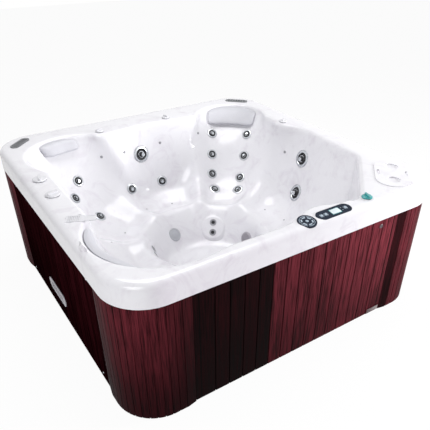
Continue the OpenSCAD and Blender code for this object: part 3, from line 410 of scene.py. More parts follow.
# Painted shade: the front (access) panel is darker left of this place
paintedShadeEdge = -0.225
looks = {
    "acrylic": marbled("whiteAcrylic", (0.80, 0.795, 0.825), (0.60, 0.55, 0.62), 0.2),
    "slats": slatMaterial("mahoganySlats", slatDark, slatLight, 0.09, offset=0.065, line=1.0),
    # Front panel: painted shade on its left part, and painted light growing toward its right end
    "frontSlats": slatMaterial("mahoganyFront", slatDark, slatLight, 0.09, line=1.0,
        along=[("X", (paintedShadeEdge - 0.002, paintedShadeEdge + 0.002), (0.11, 1.0)),
               ("X", (-0.2, 0.75), (1.0, 1.7))]),
    # Left panel: painted shade over all of it, deepest toward the back
    "leftSlats": slatMaterial("mahoganyLeft", slatDark, slatLight, 0.09, shine=0.0, line=1.0,
        along=[("Y", (-0.9, 0.9), (0.36, 0.2))]),
    "cornerSlats": slatMaterial("mahoganyCorner", slatDark, slatLight, 0.044),
    # Near corner: painted shade at the foot and toward both ends, where it meets the front and left panels
    "nearSlats": slatMaterial("mahoganyNear", slatDark, slatLight, 0.044, rise=(0.3, 1.2),
        along=[("X", (-0.92, -0.74), (1.0, 0.34)), ("Y", (-0.90, -0.72), (1.0, 0.4))]),
    # Right corner: painted shade on its first strip, left of x 0.77, and painted light over the rest, most
    # at the top
    "endSlats": slatMaterial("mahoganyEnd", slatDark, slatLight, 0.044, rise=(0.9, 1.5),
        along=[("X", (0.766, 0.776), (0.22, 1.0))]),
    "darkMetal": mottled("darkPlatedSteel", (0.13, 0.10, 0.11), 0.32, 60, 0.15, metallic=0.6),
    "louvre": mottled("greyLouvre", (0.105, 0.075, 0.078), 0.45, 70, 0.25),
    "softGrey": mottled("softGreyPlastic", (0.30, 0.30, 0.32), 0.4, 60, 0.15),
    "steel": mottled("brushedSteel", (0.55, 0.57, 0.60), 0.26, 60, 0.12, metallic=1.0),
    "smoke": mottled("smokePlastic", (0.014, 0.014, 0.017), 0.26, 50, 0.2),
    "darkPlastic": mottled("darkGreyPlastic", (0.11, 0.115, 0.125), 0.3, 60, 0.15),
    "blackBase": mottled("blackBasePan", (0.02, 0.02, 0.02), 0.55, 12, 0.3, bump=0.0008, bumpScale=90),
    "timber": slatMaterial("treatedSoftwood", (0.32, 0.20, 0.10), (0.55, 0.40, 0.24), 0.5, 0.6,
        rise=(1.0, 1.0)),
    "paleGrey": mottled("paleGreyPlastic", (0.44, 0.42, 0.46), 0.4, 50, 0.12),
    "capWhite": mottled("whiteCapPlastic", (0.70, 0.70, 0.73), 0.22, 40, 0.06, coat=0.3),
    "enamel": mottled("greyEnamel", (0.55, 0.56, 0.57), 0.35, 25, 0.08),
    "blackEnamel": mottled("blackEnamel", (0.025, 0.025, 0.028), 0.38, 25, 0.2),
    "pipe": mottled("whitePipe", (0.78, 0.78, 0.75), 0.38, 30, 0.06),
    "pillow": mottled("greyPillowSkin", (0.56, 0.56, 0.60), 0.46, 18, 0.12,
        bump=0.0004, bumpScale=900),
    "overlay": mottled("panelOverlay", (0.007, 0.013, 0.028), 0.34, 40, 0.2),
    "key": mottled("paleKey", (0.42, 0.50, 0.58), 0.3, 40, 0.1),
}


def tintedMaterial(name, roughness, scale, low, high, coat=0.0):
    # A clear or lit part, clouded between two colours
    m, t, p = material(name, roughness, coat=coat)
    n = addNoise(t, scale)
    col = mixColor(t, n.outputs["Fac"], (*low, 1), (*high, 1))
    t.links.new(col, p.inputs["Base Color"])
    return m, t, p, n, col


def lensMaterial():
    m, t, p, n, _ = tintedMaterial("lightLens", 0.08, 160, (0.50, 0.52, 0.56), (0.74, 0.75, 0.79))
    p.inputs["Transmission Weight"].default_value = 0.35
    p.inputs["IOR"].default_value = 1.46
    addBump(t, p, n.outputs["Fac"], 0.0004)
    return m


def tealMaterial():
    m, t, p, _, col = tintedMaterial("litTealKnob", 0.2, 26, (0.002, 0.10, 0.11), (0.03, 0.46, 0.46), 0.6)
    t.links.new(col, p.inputs["Emission Color"])
    p.inputs["Emission Strength"].default_value = 0.15
    return m


# Dark parts reflect little, so they stay dark under the white sweep
for key, level in (("overlay", 0.12), ("smoke", 0.25), ("blackEnamel", 0.2)):
    looks[key].node_tree.nodes["Principled BSDF"].inputs["Specular IOR Level"].default_value = level
looks["lens"] = lensMaterial()
looks["teal"] = tealMaterial()
looks["display"] = tintedMaterial("panelDisplay", 0.12, 90, (0.62, 0.70, 0.74), (0.74, 0.82, 0.85), 0.5)[0]


def paint(o, look):
    o.data.materials.clear()
    o.data.materials.append(looks[look])


nodeLooks = {
    "base_pan": "blackBase", "frame": "timber", "front_panel": "frontSlats", "back_panel": "slats",
    "left_panel": "leftSlats", "right_panel": "slats", "corner_near": "nearSlats",
    "corner_right": "endSlats", "corner_far": "cornerSlats", "corner_left": "cornerSlats",
    "panel_screws": "steel", "panel_lock": "darkMetal", "cabinet_vents": "paleGrey", "pump": "blackEnamel",
    "blower": "blackEnamel", "spa_pack": "enamel", "plumbing": "pipe", "filter_housing": "acrylic",
    "filter_cartridge": "pipe", "filter_lid": "acrylic", "speakers": "darkPlastic",
    "jet_bodies": "darkPlastic", "air_injectors": "softGrey", "light_lens": "lens",
    "suction_cover": "paleGrey", "foot_jets": "softGrey", "waterfall": "capWhite",
    "control_panel": "overlay", "button_jets": "key", "button_light": "key", "button_temperature": "key",
    "aux_panel": "overlay", "button_blower": "key", "valve_bodies": "darkPlastic",
    "knob_left_1": "capWhite", "knob_left_2": "capWhite", "knob_back_1": "capWhite",
    "knob_back_2": "capWhite", "knob_right": "capWhite", "knob_lit": "teal",
}
for node, look in nodeLooks.items():
    paint(nodes[node], look)
print("materials ready:", len(bpy.data.materials))


# The moulding of the shell, in millimetres: the same forms as the part's own
tub = {
    "half": 1075.0, "rimZ": 868.0, "cornerR": 240.0, "skirtZ": 735.0, "rimRound": 40.0, "edgeRound": 28.0,
    "thick": 14.0, "seatZ": 292.0, "lipZ": 306.0, "footZ": 314.0, "edgeZ": 848.0, "floorZ": 80.0,
    "deckReach": 1006.0, "deckLean": 70.0, "armRise": 80.0, "consoleBump": 78.0, "valveBump": 50.0,
    "lobeBlend": 28, "deckBlend": 14, "lipReach": 440, "floorReach": 315,
    "lipIn": 28, "lipDrop": 18, "floorOut": 14, "floorRise": 16, "floorIn": 26, "floorDish": 6,
}
# Each seat's back: angle, reach and radius at the foot, reach and radius at the rim, and how soon
# it leans out
lobes = [
    (3, 690, 400, 915, 560, 0.60),
    (44, 440, 280, 1194.6, 262, 0.86),
    (91, 585, 380, 800, 520, 0.36),
    (139, 660, 360, 1174.6, 330, 0.62),
    (224, 760, 300, 1269.6, 380, 0.55),
]
# Reach of the opening to the right, back, left and front, at the foot and at the rim
footOpen = (470, 430, 600, 560)
topOpen = (895, 775, 905, 980)
# Each armrest's angle, width and share of the full rise
arms = [(20, 8, 1), (62, 7, 1), (118, 8, 0.75), (168, 8, 0.55), (205, 9, 0.55), (248, 9, 0.55),
        (292, 9, 0.55)]


# Angles are in degrees from the right side, heights h from 0 at the seat to 1 at the rim
def bell(a, mid, width):
    return exp(-(((a - mid + 900) % 360 - 180) / width) ** 2)


def exitReach(a, mid, d, r):
    # How far a ray goes before it leaves a circle of radius r, centred d away at angle mid
    s, c = sin(radians(a - mid)), cos(radians(a - mid))
    q = r * r - (d * s) ** 2
    if d > r and (q <= 0 or c <= 0):
        return 0.0
    return d * c + sqrt(max(0.0, q))


def squareReach(a, side, r):
    # The same for a square with rounded corners
    c, s, k = abs(cos(radians(a))), abs(sin(radians(a))), side - r
    if s * side <= c * k:
        return side / c
    if c * side <= s * k:
        return side / s
    return (c + s) * k + sqrt(max(0.0, r * r - ((c - s) * k) ** 2))


def wallReach(a, h):
    # The wall above the seats: the widest of the opening and the lobes, with soft joins
    c, s = cos(radians(a)), sin(radians(a))
    t = h ** 0.45
    ax = footOpen[0 if c >= 0 else 2] * (1 - t) + topOpen[0 if c >= 0 else 2] * t
    ay = footOpen[1 if s >= 0 else 3] * (1 - t) + topOpen[1 if s >= 0 else 3] * t
    reach = [(abs(c / ax) ** 5 + abs(s / ay) ** 5) ** -0.2]
    for mid, footFar, footR, topFar, topR, power in lobes:
        t = h ** power
        r = footR + (topR - footR) * t
        reach.append(exitReach(a, mid, footFar + (topFar - footFar) * t - r, r))
    top = max(reach)
    soft = tub["lobeBlend"]
    out = top + soft * log(sum(exp((v - top) / soft) for v in reach))
    out -= tub["consoleBump"] * bell(a, 279, 9) * h * h + tub["valveBump"] * bell(a, 17, 6.5) * h ** 3
    toDeck = cos(radians(a - 315))
    if toDeck > 0.2:
        line = (tub["deckReach"] - tub["deckLean"] * (1 - h)) / toDeck
        low = min(out, line)
        soft = tub["deckBlend"]
        out = low - soft * log(exp((low - out) / soft) + exp((low - line) / soft))
    return out


def armLift(a):
    return tub["armRise"] * sum(m[2] * bell(a, m[0], m[1]) for m in arms)


def lipLine(a):
    return exitReach(a, 262, 45, tub["lipReach"]) + 25 * bell(a, 18, 14) + 25 * bell(a, 66, 12)


def floorLine(a):
    return exitReach(a, 268, 130, tub["floorReach"])


def wallPoint(a, h):
    z = tub["footZ"] + (tub["edgeZ"] - tub["footZ"]) * h + armLift(a) * (1 - h) ** 1.5
    return wallReach(a, h), z


def slopePoint(a, t):
    # The slope from the seats' lip at t 0 down to the floor's edge at t 1
    x0, z0 = lipLine(a) - tub["lipIn"], tub["lipZ"] - tub["lipDrop"] + armLift(a) * 0.25
    x1, z1 = floorLine(a) + tub["floorOut"], tub["floorZ"] + tub["floorRise"]
    return x0 + (x1 - x0) * t, z0 + (z1 - z0) * t


def mix(p, q, t):
    return p + (q - p) * t


wallHeights = (1, 0.93, 0.84, 0.7, 0.54, 0.38, 0.22, 0.09, 0)


def profile(a):
    # Reach and height at each point, from the skirt's edge in to the middle of the floor
    out = squareReach(a, tub["half"], tub["cornerR"])
    z, r, e = tub["rimZ"], tub["rimRound"], tub["edgeRound"]
    top = wallReach(a, 1)
    pts = [(out, tub["skirtZ"]), (out, z - r), (out - r * 0.29, z - r * 0.29), (out - r, z),
           (top + e, z), (top + e * 0.29, z - 6)]
    pts += [wallPoint(a, h) for h in wallHeights]
    foot, lip, lift = pts[-1][0], lipLine(a), armLift(a)
    pts += [(mix(foot, lip, 0.3), tub["seatZ"] + lift * 0.9),
            (mix(foot, lip, 0.7), tub["seatZ"] + 6 + lift * 0.6), (lip, tub["lipZ"] + lift * 0.35),
            slopePoint(a, 0), slopePoint(a, 0.6), slopePoint(a, 1),
            (floorLine(a) - tub["floorIn"], tub["floorZ"]), (60, tub["floorZ"] - tub["floorDish"])]
    return pts


def smoothLine(pts, cuts, fixed):
    # Hermite curve through the points; fixed gives the direction at chosen ones
    n = len(pts)
    d = [max(1e-6, sqrt((q[0] - p[0]) ** 2 + (q[1] - p[1]) ** 2)) for p, q in zip(pts, pts[1:])]
    tan = []
    for i in range(n):
        if i in fixed:
            tan.append(fixed[i])
            continue
        if i == 0 or i == n - 1:
            j = 0 if i == 0 else n - 2
            tan.append(((pts[j + 1][0] - pts[j][0]) / d[j], (pts[j + 1][1] - pts[j][1]) / d[j]))
            continue
        g = []
        for k in (0, 1):
            before = (pts[i][k] - pts[i - 1][k]) / d[i - 1]
            after = (pts[i + 1][k] - pts[i][k]) / d[i]
            g.append((before * d[i] + after * d[i - 1]) / (d[i - 1] + d[i]))
        tan.append(tuple(g))
    line = [pts[0]]
    for i in range(n - 1):
        for c in range(1, cuts[i] + 1):
            t = c / cuts[i]
            a, b = 2 * t ** 3 - 3 * t ** 2 + 1, t ** 3 - 2 * t ** 2 + t
            e, f = -2 * t ** 3 + 3 * t ** 2, t ** 3 - t ** 2
            line.append(tuple(a * pts[i][k] + b * d[i] * tan[i][k] + e * pts[i + 1][k]
                              + f * d[i] * tan[i + 1][k] for k in (0, 1)))
    return line


# Columns round the tub, and how finely each stretch of the profile is cut
shellMesh = {
    "columns": 320,
    "cuts": [2, 3, 3, 3, 3, 3, 3, 3, 4, 5, 5, 5, 5, 4, 5, 5, 5, 4, 6, 5, 4, 5],
    "cornerPull": 0.45,
}


def columnAngle(j, share):
    # Columns crowd toward the corners at the skirt and even out toward the floor
    quarter = shellMesh["columns"] // 4
    q, u = j // quarter, 2 * (j % quarter) / quarter - 1
    p = 1 + shellMesh["cornerPull"] * (1 - share)
    return 90 * q + 45 * (1 + (1 if u > 0 else -1) * abs(u) ** p)


def meshObject(bm, name):
    me = bpy.data.meshes.new(name)
    bm.to_mesh(me)
    bm.free()
    o = bpy.data.objects.new(name, me)
    bpy.context.collection.objects.link(o)
    return o


def buildShellForm():
    n = shellMesh["columns"]
    rings = sum(shellMesh["cuts"]) + 1
    bm = bmesh.new()
    grid = []
    fixed = {1: (0, 1), 3: (-1, 0), 4: (-1, 0)}      # upright on the skirt, level on the rim
    for j in range(n):
        column = []
        cache = {}
        for k in range(rings):
            share = k / (rings - 1)
            a = columnAngle(j, share)
            key = round(a, 3)
            if key not in cache:
                cache[key] = smoothLine(profile(a), shellMesh["cuts"], fixed)
            r, z = cache[key][k]
            column.append(bm.verts.new((r * cos(radians(a)) / 1000, r * sin(radians(a)) / 1000, z / 1000)))
        grid.append(column)
    for j in range(n):
        a, b = grid[j], grid[(j + 1) % n]
        for k in range(rings - 1):
            bm.faces.new((a[k], a[k + 1], b[k + 1], b[k]))
    bm.faces.new([grid[j][-1] for j in range(n)])
    bmesh.ops.recalc_face_normals(bm, faces=bm.faces)
    up = sum(f.normal.z for f in bm.faces if f.calc_center_median().z < 0.1)
    if up < 0:
        bmesh.ops.reverse_faces(bm, faces=bm.faces)
    return meshObject(bm, "tubShell")


# Small helpers: select one piece, apply its modifiers or its place, bevel, combine and join
def activate(o):
    bpy.ops.object.select_all(action="DESELECT")
    o.select_set(True)
    bpy.context.view_layer.objects.active = o


def applyAll(o):
    activate(o)
    for m in list(o.modifiers):
        bpy.ops.object.modifier_apply(modifier=m.name)


def softenEdges(o, width, segments, limit):
    b = o.modifiers.new("soft", "BEVEL")
    b.width, b.segments, b.angle_limit = width, segments, radians(limit)
    applyAll(o)


def combine(o, other, how):
    # UNION grows the piece by the other one, DIFFERENCE cuts it away
    b = o.modifiers.new(how, "BOOLEAN")
    b.object, b.operation, b.solver = other, how, "EXACT"
    applyAll(o)
    bpy.data.objects.remove(other)


def bake(o):
    activate(o)
    bpy.ops.object.transform_apply(location=True, rotation=True, scale=True)


def join(parts):
    bpy.ops.object.select_all(action="DESELECT")
    for p in parts:
        p.select_set(True)
    bpy.context.view_layer.objects.active = parts[0]
    bpy.ops.object.join()
    return bpy.context.object


# Frames on the moulding: Z leaves the surface toward the water, X is level
def polar(a, p):
    return Vector((p[0] * cos(radians(a)), p[0] * sin(radians(a)), p[1])) / 1000


def frameAt(p, du, dv):
    z = du.cross(dv).normalized()
    if z.z < 0:
        z = -z
    x = Vector((0, 0, 1)).cross(z).normalized()
    y = z.cross(x)
    m = Matrix((x, y, z)).transposed().to_4x4()
    m.translation = p
    return m


def wallFrame(a, h):
    level = polar(a + 1, wallPoint(a + 1, h)) - polar(a - 1, wallPoint(a - 1, h))
    rise = polar(a, wallPoint(a, h + 0.03)) - polar(a, wallPoint(a, h - 0.03))
    return frameAt(polar(a, wallPoint(a, h)), level, rise)


def slopeFrame(a, t):
    level = polar(a + 2, slopePoint(a + 2, t)) - polar(a - 2, slopePoint(a - 2, t))
    rise = polar(a, slopePoint(a, t - 0.1)) - polar(a, slopePoint(a, t + 0.1))
    return frameAt(polar(a, slopePoint(a, t)), level, rise)


# Each jet's angle and height on the wall
jets = {
    "small": {
        "jet_far_1": (53.5, 0.70), "jet_far_2": (53, 0.45), "jet_far_3": (52.5, 0.20),
        "jet_far_4": (50, 0.035), "jet_far_5": (36.4, 0.71), "jet_far_6": (35.5, 0.44),
        "jet_far_7": (34.8, 0.17), "jet_far_8": (33.5, 0.04), "jet_back_2": (109.3, 0.21),
        "jet_back_3": (86.3, 0.20), "jet_left_1": (129.7, 0.48), "jet_left_2": (137.6, 0.35),
        "jet_left_3": (136.3, 0.08),
    },
    "large": {"jet_right_1": (358.6, 0.67), "jet_right_2": (353.5, 0.24), "jet_back_1": (96.4, 0.64)},
}
smallFace, largeFace = 0.079, 0.127
padDrop = 0.002              # how far a fitting's pad lies below the surface
# Fittings on the slope down to the footwell, and the air injectors on the wall
lightSite, suctionSite, domeSite = (110.3, 0.56), (351.2, 0.66), (43.9, 0.57)
footSites = [(169, 0.24), (179, 0.26)]
injectors = [(117, 0.70), (107, 0.74), (83.5, 0.74), (60.5, 0.74), (10.6, 0.66)]
rimTop = 0.868
lidAt = (0.85280, -0.85280, rimTop)
# Place and radius of each knob's bore, the lit one last
knobBores = [
    (-0.985, 0, 0.0264), (-0.985, 0.240, 0.0264), (-0.365, 0.840, 0.0195), (0.190, 0.850, 0.0195),
    (0.907, 0.272, 0.0195), (0.470, -1.000, 0.0195),
]
consoleFrame = Matrix.Translation((0.160, -1.017, 0.865)) @ Matrix.Rotation(radians(8), 4, "X")


def addCylinder(r, depth, place, sides=48, r2=None):
    # place is a matrix; the cylinder stands on its plane
    bpy.ops.object.select_all(action="DESELECT")
    if r2 is None:
        bpy.ops.mesh.primitive_cylinder_add(radius=r, depth=depth, vertices=sides)
    else:
        bpy.ops.mesh.primitive_cone_add(radius1=r, radius2=r2, depth=depth, vertices=sides)
    o = bpy.context.object
    o.matrix_world = place @ Matrix.Translation((0, 0, depth / 2))
    bake(o)
    return o


def addStadium(length, width, depth, place, sides=48):
    # A block with half-round ends, standing on the plane of place
    r = width / 2
    bm = bmesh.new()
    ring = []
    for i in range(sides):
        a = 2 * pi * i / sides
        off = (length / 2 - r) * (1 if cos(a) > 0 else -1)
        ring.append(bm.verts.new((off + r * cos(a), r * sin(a), 0)))
    f = bm.faces.new(ring)
    top = bmesh.ops.extrude_face_region(bm, geom=[f])["geom"]
    bmesh.ops.translate(bm, verts=[v for v in top if isinstance(v, bmesh.types.BMVert)], vec=(0, 0, depth))
    bmesh.ops.recalc_face_normals(bm, faces=bm.faces)
    o = meshObject(bm, "stadium")
    o.matrix_world = place
    bake(o)
    return o


def shift(m, x=0, y=0, z=0):
    return m @ Matrix.Translation((x, y, z))


# Pads and bores of the moulding, in metres
forms = {
    "padSize": (0.462, 0.096, 0.016), "padDrop": 0.0155, "domeRadius": (0.114, 0.082), "domeHigh": 0.016,
    "domeDrop": 0.004, "softEdge": 0.006,
    "jetGap": 0.0015, "jetFlare": 0.013, "jetDeep": 0.034,
    "siteBore": (0.0520, 0.060), "footBore": (0.0275, 0.030), "footStep": 0.039, "domeTop": 0.012,
    "injectorBore": 0.0104, "knobFrom": 0.83,
    "recessDeep": 0.03, "siteDeep": 0.04, "boreDeep": 0.06,      # heights of the cutting blocks
    # Size, floor and sides of the upper and of the lower step of each recess
    "panelSteps": [((0.241, 0.076), -0.003, 64), ((0.226, 0.061), -0.032, 48)], "panelShift": 0.040,
    "auxSteps": [(0.0535, -0.003, 64), (0.0460, -0.032, 48)], "auxShift": -0.150,
    "lidSteps": [((0.398, 0.214), -0.006, 80), ((0.378, 0.194), -0.034, 80)],
    "speakerSteps": [((0.191, 0.063), -0.004, 48), ((0.178, 0.050), -0.033, 48)],
    "speakerReach": (1420.6 - 122) / 1000,
    "slotAt": (-0.977, -0.330, rimTop), "slotSize": (0.0835, 0.063, 0.006),
}


def fittingBores():
    # Flared bores for the jets and the other fittings in the wall, the slope and the dome
    cuts = []
    for size, face in (("small", smallFace), ("large", largeFace)):
        for a, h in jets[size].values():
            m = shift(wallFrame(a, h), z=-padDrop)
            cuts.append(addCylinder(face / 2 + forms["jetGap"], forms["jetDeep"], m, 48,
                                    face / 2 + forms["jetFlare"]))
    low, high = forms["siteBore"]
    for site in (lightSite, suctionSite):
        cuts.append(addCylinder(low, forms["siteDeep"], shift(slopeFrame(*site), z=-padDrop), 48, high))
    feet = [shift(slopeFrame(*site), z=-padDrop) for site in footSites]
    feet += [shift(slopeFrame(*domeSite), y=y * forms["footStep"], z=forms["domeTop"]) for y in (-1, 1)]
    low, high = forms["footBore"]
    for m in feet:
        cuts.append(addCylinder(low, forms["siteDeep"], m, 40, high))
    for a, h in injectors:
        m = shift(wallFrame(a, h), z=-0.03)
        cuts.append(addCylinder(forms["injectorBore"], forms["boreDeep"], m, 24))
    return cuts


def rimRecesses():
    # Stepped recesses for the touch panels, the filter lid, the speakers, the knobs and the waterfall
    cuts = []
    deep = forms["recessDeep"]
    for size, floorAt, sides in forms["panelSteps"]:
        cuts.append(addStadium(*size, deep, shift(consoleFrame, forms["panelShift"], 0, floorAt), sides))
    for r, floorAt, sides in forms["auxSteps"]:
        cuts.append(addCylinder(r, deep, shift(consoleFrame, forms["auxShift"], 0, floorAt), sides))
    lid = Matrix.Translation(lidAt) @ Matrix.Rotation(radians(45), 4, "Z")
    for size, floorAt, sides in forms["lidSteps"]:
        cuts.append(addStadium(*size, deep, shift(lid, z=floorAt), sides))
    for a in (45, 135):
        m = Matrix.Rotation(radians(a), 4, "Z") @ Matrix.Translation((forms["speakerReach"], 0, rimTop))
        m = m @ Matrix.Rotation(pi / 2, 4, "Z")
        for size, floorAt, sides in forms["speakerSteps"]:
            cuts.append(addStadium(*size, deep, shift(m, z=floorAt), sides))
    for x, y, r in knobBores:
        m = Matrix.Translation((x, y, forms["knobFrom"]))
        cuts.append(addCylinder(r, forms["boreDeep"], m, 32))
    bpy.ops.object.select_all(action="DESELECT")
    bpy.ops.mesh.primitive_cube_add(size=1, location=forms["slotAt"])
    slot = bpy.context.object
    slot.scale = forms["slotSize"]
    bake(slot)
    cuts.append(slot)
    return cuts


def buildShell():
    shell = buildShellForm()
    thick = shell.modifiers.new("thick", "SOLIDIFY")
    thick.thickness = tub["thick"] / 1000
    thick.offset = -1
    applyAll(shell)
    # Raised console pad and the foot dome grow out of the moulding
    pad = addStadium(*forms["padSize"], shift(consoleFrame, z=-forms["padDrop"]), 64)
    softenEdges(pad, forms["softEdge"], 4, 40)
    low, high = forms["domeRadius"]
    dome = addCylinder(low, forms["domeHigh"], shift(slopeFrame(*domeSite), z=-forms["domeDrop"]), 64, high)
    softenEdges(dome, forms["softEdge"], 4, 20)
    combine(shell, join([pad, dome]), "UNION")
    combine(shell, join(fittingBores() + rimRecesses()), "DIFFERENCE")
    activate(shell)
    bpy.ops.object.shade_smooth_by_angle(angle=radians(32))
    paint(shell, "acrylic")
    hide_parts("shell")
    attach(shell, "tub")
    print("shell moulded:", len(shell.data.polygons), "faces")
    return shell


shell = buildShell()


# Jet faces: a steel bezel, a smoked recess with ports, and the nozzle that aims the jet
jetFace = {
    "small": {"size": smallFace, "ports": 8, "grips": 6, "stem": 0.0209},
    "large": {"size": largeFace, "ports": 12, "grips": 8, "stem": 0.0399},
    "flange": 0.002,         # height of the fixed flange over its pad
    "base": 0.0003,          # running gap over the flange
    "aim": 14,               # tilt of the nozzle, in degrees
    "turnStep": 37,          # how far each jet is turned from the one before
    "recess": (0.42, 0.70),  # where the smoked recess starts and ends, of the radius
    "gripRing": 1.05, "gripRadius": 0.0050, "portRing": 0.57, "portRadius": 0.0020,
    # Width and lift of each inset of a small jet's face
    "steps": [(0.0028, 0.0030), (0.0060, 0.0012), (0.0016, 0.0), (0.0016, -0.0034),
              (0.0078, -0.0010), (0.0014, 0.0022), (0.0026, 0.0030)],
}


def selectOnly(o, test):
    for f in o.data.polygons:
        f.select = False
    for e in o.data.edges:
        e.select = False
    for v in o.data.vertices:
        v.select = False
    for f in o.data.polygons:
        f.select = bool(test(f))


def turnedDisc(r, height, sides, steps):
    # A disc whose top is inset by steps of a width and a lift, both in metres
    bpy.ops.object.select_all(action="DESELECT")
    bpy.ops.mesh.primitive_cylinder_add(radius=r, depth=height, vertices=sides, location=(0, 0, height / 2))
    o = bpy.context.object
    bake(o)
    selectOnly(o, lambda f: f.normal.z > 0.9)
    activate(o)
    for width, lift in steps:
        bpy.ops.object.mode_set(mode="EDIT")
        bpy.ops.mesh.select_mode(type="FACE")
        bpy.ops.mesh.inset(thickness=width, depth=lift, use_even_offset=False)
        bpy.ops.object.mode_set(mode="OBJECT")
    return o


def pinsRound(count, ring, r, half, sides):
    # Cutting pins on a circle, from half a step on for the grips
    pins = []
    for i in range(count):
        a = 2 * pi * (i + half) / count
        place = Matrix.Translation((ring * cos(a), ring * sin(a), -0.005))
        pins.append(addCylinder(r, 0.03, place, sides))
    return pins


def makeJet(kind):
    spec = jetFace[kind]
    r = spec["size"] / 2
    k = r / (smallFace / 2)
    face = turnedDisc(r, 0.0022, 64, [(width * k, lift) for width, lift in jetFace["steps"]])
    face.data.materials.append(looks["steel"])
    face.data.materials.append(looks["smoke"])
    inner, outer = jetFace["recess"]
    for f in face.data.polygons:
        d = sqrt(f.center.x ** 2 + f.center.y ** 2)
        f.material_index = 1 if inner * r < d < outer * r else 0
    pins = pinsRound(spec["grips"], jetFace["gripRing"] * r, jetFace["gripRadius"] * k, 0.5, 20)
    pins += pinsRound(spec["ports"], jetFace["portRing"] * r, jetFace["portRadius"] * k, 0, 12)
    combine(face, join(pins), "DIFFERENCE")
    # Nozzle ball with its bore aimed off centre
    aim = Matrix.Rotation(radians(jetFace["aim"]), 4, "X")
    ballRadius = 0.36 * r
    bpy.ops.object.select_all(action="DESELECT")
    bpy.ops.mesh.primitive_uv_sphere_add(radius=ballRadius, segments=40, ring_count=20,
                                         location=(0, 0, 0.001))
    ball = bpy.context.object
    bake(ball)
    ball.data.materials.append(looks["smoke"])
    combine(ball, addCylinder(0.17 * r, 0.05, aim, 32), "DIFFERENCE")
    rim = turnedDisc(0.25 * r, 0.001, 40, [(0.02 * r, 0.0012), (0.04 * r, 0.0), (0.02 * r, -0.0020)])
    rim.data.materials.append(looks["steel"])
    rim.matrix_world = aim @ Matrix.Translation((0, 0, ballRadius))
    bake(rim)
    stem = addCylinder(spec["stem"], 0.036, Matrix.Translation((0, 0, -0.036)), 48)
    stem.data.materials.append(looks["smoke"])
    jet = join([face, ball, rim, stem])
    activate(jet)
    bpy.ops.object.shade_smooth_by_angle(angle=radians(30))
    return jet


def placeCopy(source, name, matrix):
    o = bpy.data.objects.new(name, source.data.copy())
    bpy.context.collection.objects.link(o)
    o.data.name = name
    o.data.transform(matrix)
    return o


for kind in ("small", "large"):
    pattern = makeJet(kind)
    for i, (node, (a, h)) in enumerate(jets[kind].items()):
        m = shift(wallFrame(a, h), z=-padDrop + jetFace["flange"] + jetFace["base"])
        m = m @ Matrix.Rotation(radians(jetFace["turnStep"] * i), 4, "Z")
        piece = placeCopy(pattern, "face_" + node, m)
        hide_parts(node)
        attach(piece, node)
    bpy.data.objects.remove(pattern)
print("jet faces placed:", len(jets["small"]) + len(jets["large"]))


# Pillows: moulded foam with a crowned face and rounded ends, set against the wall, in millimetres
pillow = {
    "thick": 62.0, "gap": 4.0, "top": 854.0,
    "endShape": 3.2, "endTrim": 0.985, "squareness": 0.62, "crown": 0.8, "endHigh": 0.55,
    # Angle of the middle, half the angle across, and height
    "places": {
        "pillow_far": (45, 10.5, 104.0), "pillow_left": (129, 6.2, 83.2),
        "pillow_near": (213.8, 10.7, 104.0),
    },
    "columns": 72, "around": 48,
}


def rounded(v):
    # A sine or cosine made squarer, so that the section is a soft box
    return abs(v) ** pillow["squareness"] * (1 if v > 0 else -1)


def makePillow(node, mid, halfWidth, height):
    n, m = pillow["columns"], pillow["around"]
    bm = bmesh.new()
    rows = []
    for i in range(n + 1):
        u = pillow["endTrim"] * sin((-1 + 2 * i / n) * pi / 2)
        w = sqrt(max(0.0, 1 - abs(u) ** pillow["endShape"]))
        row = []
        for j in range(m):
            cs, sn = rounded(cos(2 * pi * j / m)), rounded(sin(2 * pi * j / m))
            a = mid + u * halfWidth
            ends = pillow["endHigh"] + (1 - pillow["endHigh"]) * w
            z = pillow["top"] - height / 2 + sn * height / 2 * ends
            h = (min(z, tub["edgeZ"]) - tub["footZ"]) / (tub["edgeZ"] - tub["footZ"])
            r = wallReach(a, h) - pillow["gap"]
            r -= pillow["thick"] * (w * max(0.0, -cs) * pillow["crown"] + 0.1 * (1 - cs))
            row.append(bm.verts.new((r * cos(radians(a)) / 1000, r * sin(radians(a)) / 1000, z / 1000)))
        rows.append(row)
    for i in range(n):
        for j in range(m):
            k = (j + 1) % m
            bm.faces.new((rows[i][j], rows[i][k], rows[i + 1][k], rows[i + 1][j]))
    bm.faces.new(rows[0])
    bm.faces.new(list(reversed(rows[-1])))
    bmesh.ops.recalc_face_normals(bm, faces=bm.faces)
    o = meshObject(bm, "pad_" + node)
    paint(o, "pillow")
    activate(o)
    bpy.ops.object.shade_smooth()
    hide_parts(node)
    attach(o, "tub")


for node, (mid, halfWidth, height) in pillow["places"].items():
    makePillow(node, mid, halfWidth, height)
print("pillows formed")


# Display and key marks on the two touch panels
touchPanel = {
    "display": (0.050, 0.060, 0.038), "keys": (-0.048, -0.018, 0.124), "markRadius": 0.0118,
    "ringCentre": forms["auxShift"], "ringMarks": 6, "top": 0.0040,
    "markHigh": 0.0006, "dashAt": (0.098, 0.010), "dashSize": (0.010, 0.0016, 0.0006),
    "rings": [(0.026, 0.034, 10), (0.040, 0.0425, 4)],   # inner and outer radius, gap in degrees
    "rimWide": 0.0018, "rimHigh": 0.0010, "rimOut": 0.0022,
}


